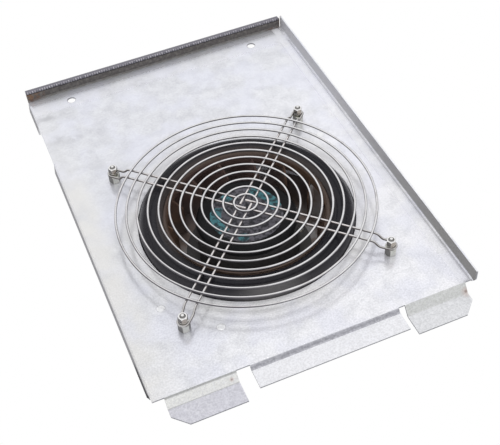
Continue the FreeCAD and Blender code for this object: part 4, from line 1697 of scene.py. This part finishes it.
@dataclass
class Fasteners:
    """Stand-offs, nuts, washers and studs, with their chamfers, bores, domes and threads."""

    screw_square: float = 200.0 * MM
    spacer_flats: float = 10.0 * MM
    m5_flats: float = 8.0 * MM
    m5_r: float = 2.5 * MM
    m5_pitch: float = 0.8 * MM
    m5_washer_r: float = 4.3 * MM
    m4_flats: float = 7.0 * MM
    m4_r: float = 2.0 * MM
    m4_pitch: float = 0.7 * MM
    m4_washer_r: float = 4.5 * MM
    hole_gap: float = 0.25 * MM
    thread_gap: float = 0.05 * MM
    dome_h: float = 1.7 * MM
    dome_rise: float = 1.2 * MM
    dome_inset: float = 1.1 * MM
    stud_diagonal: float = 129.0 * MM
    stud_half_span: float = 29.0 * MM
    stud_head_r: float = 4.0 * MM
    stud_head_h: float = 1.0 * MM
    stud_head_crown: float = 0.25 * MM
    washer_round: float = 0.12 * MM
    chamfer_share: float = 1.15
    ridge_share: float = 0.42
    round_sides: int = 48

    @property
    def guard_spots(self) -> list[Vector]:
        """Centres of the guard's four screws."""
        half = self.screw_square / 2
        return [Vector((side_x * half, side_y * half, 0)) for side_x in (-1, 1) for side_y in (-1, 1)]

    @property
    def stud_spots(self) -> list[Vector]:
        """Centres of the four studs that carry the motor bracket.

        Returns:
            Four places at the plate's top.
        """
        out = Vector((1, 1, 0)).normalized() * self.stud_diagonal
        across = Vector((1, -1, 0)).normalized() * self.stud_half_span
        return [end * out + side * across for end in (-1, 1) for side in (-1, 1)]

    def hexagon(self, flats: float, bottom: float, top: float, name: str) -> bpy.types.Object:
        """Hexagonal bar with its corners turned off at both ends.

        Args:
            flats: Width across its flats.
            bottom: Level of its lower end.
            top: Level of its upper end.
            name: Name of the bar.

        Returns:
            The bar, on the fan's axis.
        """
        corner_r = flats / math.sqrt(3)
        bar = Bench.round_bar(corner_r, bottom, top, 6, name)
        blank = Bench.round_bar(corner_r * 1.001, bottom, top, self.round_sides, "blank")
        Bench.bevel(blank, self.chamfer(flats), 60, 1)
        Bench.carve(bar, blank, "INTERSECT")
        return bar

    def chamfer(self, flats: float) -> float:
        """Width of the chamfer that turns a hexagon's corners off."""
        return (flats / math.sqrt(3) - flats / 2) * self.chamfer_share

    def thread(self, radius: float, bottom: float, top: float, pitch: float, name: str) -> bpy.types.Object:
        """Threaded end as a row of ridges.

        Args:
            radius: Outer radius of the thread.
            bottom: Level of its lower end.
            top: Level of its upper end.
            pitch: About how far the ridges stand apart.
            name: Name of the end.

        Returns:
            The threaded end, on the fan's axis.
        """
        count = max(1, round((top - bottom) / pitch))
        step = (top - bottom) / count
        ridge = Bench.round_bar(radius, bottom, bottom + step, self.round_sides // 2, name)
        Bench.bevel(ridge, step * self.ridge_share, 60, 1)
        Bench.row(ridge, Z_AXIS * step, count)
        return ridge

    def washer(self, node: str, outer: float, hole: float, name: str) -> bpy.types.Object:
        """Plain washer with rounded edges, as thick as its node.

        Args:
            node: Node that it stands for.
            outer: Outer radius.
            hole: Radius of its hole.
            name: Name of the piece.

        Returns:
            The washer, on the fan's axis.
        """
        room = NodeBox.of(node)
        disc = Bench.round_bar(outer, room.low.z, room.high.z, self.round_sides, name)
        Bench.bore(disc, outer - hole)
        Bench.bevel(disc, self.washer_round, 60)
        return disc

    def nut(self, node: str, flats: float, hole: float, name: str) -> bpy.types.Object:
        """Hexagonal nut with a bore, as high as its node.

        Args:
            node: Node that it stands for.
            flats: Width across its flats.
            hole: Radius of its bore.
            name: Name of the piece.

        Returns:
            The nut, on the fan's axis.
        """
        room = NodeBox.of(node)
        nut = self.hexagon(flats, room.low.z, room.high.z, name)
        Bench.bore(nut, flats / math.sqrt(3) - self.chamfer(flats) - hole)
        return nut

    def dome_nut(self) -> bpy.types.Object:
        """Hexagonal nut closed by a dome.

        Returns:
            The nut, on the fan's axis.
        """
        room = NodeBox.of("guard_cap_nuts")
        top = room.high.z + self.dome_rise
        shoulder = top - self.dome_h
        nut = self.hexagon(self.m5_flats, room.low.z, shoulder, "guard_dome_nuts")
        base_r = self.m5_flats / 2 - self.dome_inset
        ball_r = (base_r**2 + self.dome_h**2) / (2 * self.dome_h)
        Bench.clear()
        bpy.ops.mesh.primitive_uv_sphere_add(
            segments=self.round_sides, ring_count=self.round_sides // 2, radius=ball_r,
            location=(0, 0, top - ball_r),
        )
        dome = Bench.settle(bpy.context.object, "dome")
        Bench.edit(dome)
        bpy.ops.mesh.select_all(action="SELECT")
        bpy.ops.mesh.bisect(plane_co=(0, 0, shoulder), plane_no=(0, 0, 1), use_fill=True, clear_inner=True)
        Bench.clear()
        return Bench.join([nut, dome], "guard_dome_nuts")

    def standoff(self) -> bpy.types.Object:
        """Hexagonal stand-off with a threaded end above and below.

        Returns:
            The stand-off, on the fan's axis.
        """
        seat = NodeBox.of("guard_arms").low.z
        name = "guard_standoff_bars"
        bar = self.hexagon(self.spacer_flats, 0, seat, name)
        nut_seat = NodeBox.of("guard_cap_nuts").low.z
        tail = self.thread(self.m5_r, NodeBox.of("guard_spacers").low.z, 0, self.m5_pitch, "tail")
        neck = self.thread(self.m5_r, seat, nut_seat, self.m5_pitch, "neck")
        return Bench.join([bar, tail, neck], name)

    def stud(self) -> bpy.types.Object:
        """Clinch stud: a low round head in the plate and a threaded end under it.

        Returns:
            The stud, on the fan's axis.
        """
        room = NodeBox.of("clinch_studs")
        neck = room.high.z - self.stud_head_h
        name = "clinch_stud_bolts"
        top = room.high.z + self.stud_head_crown
        head = Bench.round_bar(self.stud_head_r, neck, top, self.round_sides, name)
        Bench.bevel(head, 2 * self.stud_head_crown, 60, 3)
        tail = self.thread(self.m4_r, room.low.z, neck, self.m4_pitch, "tail")
        return Bench.join([head, tail], name)

    def build(self, dresser: Dresser) -> None:
        """Model each kind once, copy it to its places and dress it.

        Args:
            dresser: Dresser of the fan's pieces.
        """
        m5_hole, m4_hole = self.m5_r + self.hole_gap, self.m4_r + self.hole_gap
        m5_bore, m4_bore = self.m5_r + self.thread_gap, self.m4_r + self.thread_gap
        guard, studs = self.guard_spots, self.stud_spots
        standoff = self.standoff()
        m5_washer = self.washer("guard_washers", self.m5_washer_r, m5_hole, "guard_flat_washers")
        dome_nut = self.dome_nut()
        m5_nut = self.nut("spacer_nuts", self.m5_flats, m5_bore, "standoff_nuts")
        stud = self.stud()
        m4_washer = self.washer("bracket_washers", self.m4_washer_r, m4_hole, "stud_washers")
        m4_nut = self.nut("bracket_nuts", self.m4_flats, m4_bore, "stud_nuts")
        plans = (
            (standoff, guard, "guard_spacers"),
            (m5_washer, guard, "guard_washers"),
            (dome_nut, guard, "guard_cap_nuts"),
            (m5_nut, guard, "spacer_nuts"),
            (stud, studs, "clinch_studs"),
            (m4_washer, studs, "bracket_washers"),
            (m4_nut, studs, "bracket_nuts"),
        )
        for piece, spots, node in plans:
            placed = Bench.copies(piece, spots)
            Bench.smooth(placed, 35)
            dresser.add(placed, Body.FRAME, Slot(dresser.slot_of[node]), node)


@dataclass
class Studio:
    """Pale floor, soft light from above and behind, and the photograph's camera."""

    camera_at: Vector = Vector((-0.20587, -0.58712, 0.66897))
    camera_turn: tuple[float, float, float] = (42.364, 3.054, -22.911)
    lens: float = 69.06
    sensor: float = 36.0
    floor_half: float = 6.0
    floor_pale: Colour = (0.90, 0.90, 0.905)
    floor_shade: Colour = (0.16, 0.155, 0.16)
    bright_side: Vector = Vector((0.20, 0.60, 0.77))
    sky_tint: Colour = (0.985, 0.99, 1.0)
    sky_horizon: float = 0.15
    sky_high: float = 0.90
    sky_lobe: float = 0.06
    sky_back: float = 0.7
    high_band: tuple[float, float] = (0.05, 0.36)
    back_band: tuple[float, float] = (0.7, 0.98)
    lobe_band: tuple[float, float] = (0.6, 1.0)
    box_side: float = 0.42
    box_at: Vector = Vector((0.10, 0.30, 1.55))
    box_power: float = 6.5
    shade_at: tuple[float, float] = (0.04, 0.11)
    shade_inner: float = 0.10
    shade_outer: float = 0.165
    deep_at: tuple[float, float] = (0.069, 0.142)
    deep_inner: float = 0.015
    deep_outer: float = 0.085

    def floor(self) -> None:
        """Pale floor that is white round the fan and keeps its shadow near it, with a painted dark shadow
        under its middle.
        """
        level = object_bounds()[0][2]
        Bench.clear()
        bpy.ops.mesh.primitive_plane_add(size=2 * self.floor_half, location=(0, 0, level))
        floor = Bench.settle(bpy.context.object, "floor")
        material, graph = blank_material("floor_pale")
        seen = graph.ray("Is Camera Ray") + graph.ray("Is Glossy Ray") + graph.ray("Is Transmission Ray")
        away = 1 - graph.near((*self.shade_at, level), self.shade_inner, self.shade_outer)
        # Painted shadow: the floor's colour is darkened under the fan's middle.
        deep = graph.near((*self.deep_at, level), self.deep_inner, self.deep_outer)
        colour = graph.mix(deep, self.floor_pale, self.floor_shade)
        lit = graph.node("ShaderNodeBsdfDiffuse", None, {"Color": colour})
        glow = graph.node("ShaderNodeEmission", None, {"Color": (1, 1, 1, 1), "Strength": 1.0})
        blend = graph.node("ShaderNodeMixShader", None, {0: seen * away, 1: lit, 2: glow})
        graph.node("ShaderNodeOutputMaterial", None, {"Surface": blend})
        floor.data.materials.append(material)
        floor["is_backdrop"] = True

    def sky(self) -> None:
        """Soft light all round, dim at the horizon and brightest above the back of the fan."""
        world = bpy.data.worlds.new("soft_studio")
        bpy.context.scene.world = world
        world.use_nodes = True
        graph = Graph(world.node_tree)
        direction = graph.node("ShaderNodeTexCoord", output="Generated")
        towards = graph.node(
            "ShaderNodeVectorMath", {"operation": "DOT_PRODUCT"},
            {0: direction, 1: self.bright_side.normalized()}, "Value",
        )
        _, backwards, height = graph.split(direction)
        high = graph.fade(height, *self.high_band)
        low = graph.fade(backwards, *self.back_band, self.sky_horizon, self.sky_back)
        lobe = graph.fade(towards, *self.lobe_band, 0.0, self.sky_lobe)
        strength = high * self.sky_high + (1 - high) * low + lobe
        shown = strength + graph.ray("Is Camera Ray") * (1 - strength)
        light = graph.node("ShaderNodeBackground", None, {"Color": (*self.sky_tint, 1), "Strength": shown})
        graph.node("ShaderNodeOutputWorld", None, {"Surface": light})

    def lamp(self) -> None:
        """Soft box above the fan, a little behind it, with no mirror image in the metal."""
        light = bpy.data.lights.new("soft_box", "AREA")
        light.shape = "SQUARE"
        light.size = self.box_side
        light.energy = self.box_power
        box = bpy.data.objects.new("soft_box", light)
        box.location = self.box_at
        box.rotation_euler = (-self.box_at).to_track_quat("-Z", "Y").to_euler()
        box.visible_glossy = False
        bpy.context.scene.collection.objects.link(box)

    def camera(self) -> None:
        """Camera at the photograph's place and angle."""
        data = bpy.data.cameras.new("photo_camera")
        data.lens = self.lens
        data.sensor_width = self.sensor
        camera = bpy.data.objects.new("photo_camera", data)
        camera.location = self.camera_at
        camera.rotation_euler = [math.radians(turn) for turn in self.camera_turn]
        bpy.context.scene.collection.objects.link(camera)
        bpy.context.scene.camera = camera

    def build(self) -> None:
        """Set up floor, light, camera and plain colour handling."""
        bpy.context.scene.view_settings.view_transform = "Standard"
        self.floor()
        self.sky()
        self.lamp()
        self.camera()


def main() -> None:
    """Load the fan's frame, model and dress its pieces, and set up the studio."""
    logging.basicConfig(level=logging.INFO, format="%(name)s: %(message)s")
    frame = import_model()
    Bench.clear()
    dresser = Dresser(frame)
    dresser.dress_nodes()
    sheets = (SheetMetal("mounting_plate"), SheetMetal("motor_bracket"))
    for part in (*sheets, EdgeTrim(), WireGuard(), Fasteners()):
        part.build(dresser)
    Studio().build()


if __name__ == "__main__":
    main()
